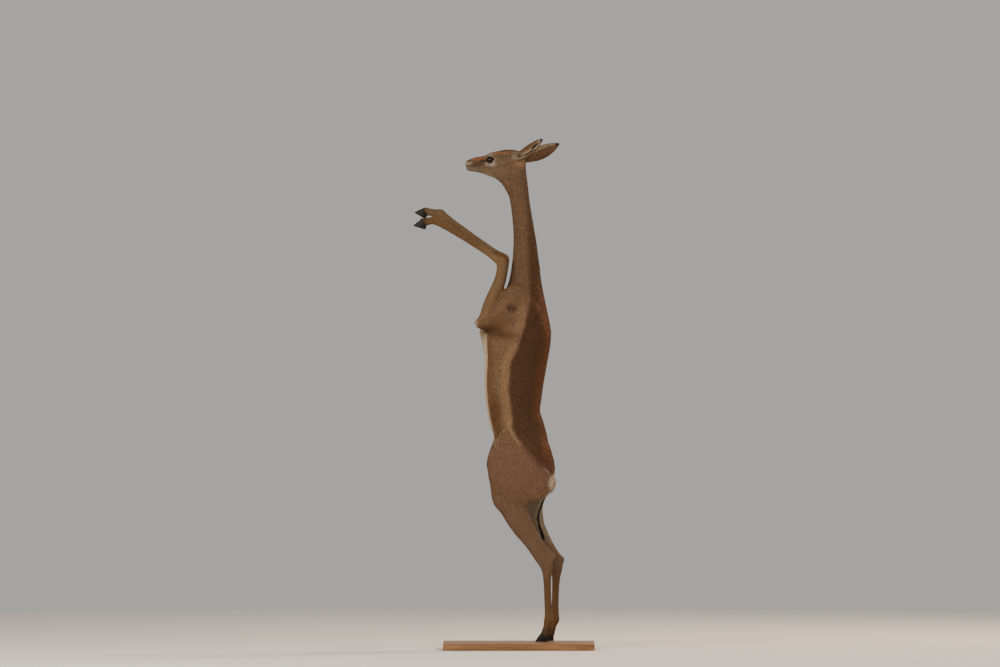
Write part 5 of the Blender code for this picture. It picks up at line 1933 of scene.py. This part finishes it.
@dataclass
class TailHair:
    """The black tuft at the end of the tail, in tapering locks.

    Attributes:
        coat: the coat, whose way of building tufts is used.
        seed: starts the chances.
        locks: how many locks.
        length: length of a lock.
        width: its width.
        start: the share of the tail's length at which the tuft starts.
        span: the share of it over which locks are rooted.
        ahead: how far ahead on the tail a lock points.
        root: how far the roots lie from the middle of the tail.
        colour: sRGB colour.
        tones: the least and greatest factor on a lock's colour.
        sizes: the same on its length.
        lifts: the least and greatest lift of a lock.
    """

    coat: Coat
    seed: int = 5
    locks: int = 900
    length: float = 0.040
    width: float = 0.0016
    start: float = 0.49
    span: float = 0.41
    ahead: float = 0.012
    root: float = 0.0030
    colour: str = "1a1512"
    tones: tuple[float, float] = (0.7, 1.5)
    sizes: tuple[float, float] = (0.6, 1.15)
    lifts: tuple[float, float] = (0.01, 0.16)

    def build(self) -> bpy.types.Object:
        """Makes the tuft.

        Returns:
            The piece.
        """
        chance = np.random.default_rng(self.seed)
        line = np.array([row[:3] for row in AXES[-1].stations])
        before = np.concatenate(([0.0], np.cumsum(np.linalg.norm(np.diff(line, axis=0), axis=1))))
        share = chance.random(self.locks) ** 0.7
        place = before[-1] * (self.start + self.span * share)
        centres, beyond = (np.stack([np.interp(at, before, line[:, i]) for i in range(3)], axis=1)
                           for at in (place, place + self.ahead))
        ways = unit(beyond - centres)
        turn = chance.uniform(0, 2 * math.pi, self.locks)
        side = unit(np.cross(ways, (0.0, 1.0, 0.0)))
        out = side * np.cos(turn)[:, None] + np.cross(ways, side) * np.sin(turn)[:, None]
        colours = linear(self.colour) * chance.uniform(*self.tones, self.locks)[:, None]
        lengths = self.length * chance.uniform(*self.sizes, self.locks) * (0.55 + 0.45 * share)
        roots = centres + out * self.root
        unwrapped = self.coat.body.unwrap(self.coat.body.locate(roots))
        tufts = Tufts(roots, out, ways, lengths, np.full(self.locks, self.width),
                      chance.uniform(*self.lifts, self.locks) * share ** 2, colours, unwrapped)
        obj = self.coat.piece("coat_tail_tuft", tufts, "tail_hair", on_skin=False)
        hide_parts("tail_tuft")
        return obj


@dataclass
class Stand:
    """The wooden base.

    Attributes:
        finish: its finish.
        bevel: width of its soft edges.
    """

    finish: OiledWood
    bevel: float = 0.004

    def build(self) -> bpy.types.Object:
        """Makes the base over the frame's.

        Returns:
            The base.
        """
        low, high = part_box("stand_base")
        bpy.ops.object.select_all(action="DESELECT")
        bpy.ops.mesh.primitive_cube_add(size=1.0)
        obj = bpy.context.active_object
        obj.name = "stand_board"
        size = high - low
        middle = (high + low) / 2
        obj.data.transform(Matrix.Translation(middle) @ Matrix.Diagonal((*size, 1.0)))
        soft = obj.modifiers.new("soft", "BEVEL")
        soft.width = self.bevel
        soft.segments = 3
        applied(obj)
        obj.data.materials.append(self.finish.material())
        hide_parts("stand_base")
        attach(obj, BODY)
        return obj


# Studio.


@dataclass(frozen=True)
class Lamp:
    """A soft square light that faces the animal.

    Attributes:
        name: its name.
        place: where it stands.
        size: its width.
        power: watts.
        colour: sRGB colour.
    """

    name: str
    place: tuple[float, float, float]
    size: float
    power: float
    colour: str


@dataclass
class Studio:
    """Floor, lights and camera.

    Attributes:
        finish: the finish of the floor.
        distance: how far the camera stands.
        aim: the x and z at the middle of the picture.
        width: the width of the picture at the animal.
        sensor: the width of the camera's sensor in millimetres.
        floor_radius: radius of the floor.
        far: how far the camera sees.
        target: the place that the lamps face.
        lamps: the lamps.
        sky: sRGB colour of the light from all round.
        sky_strength: its strength.
    """

    finish: StudioFloor
    distance: float = 40.0
    aim: tuple[float, float] = (-0.0767, 1.2949)
    width: float = 4.10
    sensor: float = 36.0
    floor_radius: float = 6.0
    far: float = 200.0
    target: tuple[float, float, float] = (0.0, 0.0, 1.2)
    lamps: tuple[Lamp, ...] = (
        Lamp("key", (-2.6, -3.6, 3.4), 2.6, 200.0, "fff2e2"),
        Lamp("fill", (3.4, -3.0, 1.8), 3.0, 45.0, "fff6ec"),
        Lamp("rim", (3.0, 2.0, 3.6), 1.4, 190.0, "ffe0c0"),
    )
    sky: str = "dedcd8"
    sky_strength: float = 0.62

    def build(self) -> None:
        """Makes the studio."""
        bpy.ops.object.select_all(action="DESELECT")
        bpy.ops.mesh.primitive_circle_add(vertices=96, radius=self.floor_radius, fill_type="NGON",
                                          location=(0.0, 0.0, 0.0))
        floor = bpy.context.active_object
        floor.name = "studio_floor"
        floor.data.materials.append(self.finish.material())
        for lamp in self.lamps:
            light = bpy.data.lights.new(lamp.name, "AREA")
            light.size = lamp.size
            light.energy = lamp.power
            light.color = linear(lamp.colour)
            obj = bpy.data.objects.new(lamp.name, light)
            bpy.context.scene.collection.objects.link(obj)
            obj.location = lamp.place
            obj.visible_camera = False
            way = Vector(self.target) - Vector(lamp.place)
            obj.rotation_euler = way.to_track_quat("-Z", "Y").to_euler()
        world = bpy.data.worlds.new("studio")
        bpy.context.scene.world = world
        world.use_nodes = True
        background = world.node_tree.nodes["Background"]
        background.inputs["Color"].default_value = (*linear(self.sky), 1.0)
        background.inputs["Strength"].default_value = self.sky_strength
        camera = bpy.data.cameras.new("camera")
        camera.sensor_width = self.sensor
        camera.lens = self.sensor * self.distance / self.width
        camera.clip_end = self.far
        obj = bpy.data.objects.new("camera", camera)
        obj.location = (self.aim[0], -self.distance, self.aim[1])
        obj.rotation_euler = (math.pi / 2, 0.0, 0.0)
        bpy.context.scene.collection.objects.link(obj)
        bpy.context.scene.camera = obj


def main() -> None:
    """Builds the pieces in order and reports each."""
    logging.basicConfig(level=logging.INFO, format="%(message)s")
    body = BodyMap()
    markings = Markings(body)
    skin = Skin(body, markings, Hide())
    made = [skin.build()]
    coat = Coat(skin, body, markings, Hair())
    made += coat.build()
    made.append(TailHair(coat).build())
    made += Eyes(WetEye()).build()
    made += Hooves(Horn()).build()
    made.append(Stand(OiledWood()).build())
    Studio(StudioFloor()).build()
    for obj in made:
        LOG.info("%s: %d triangles", obj.name, triangle_count(obj.data))


if __name__ == "__main__":
    main()
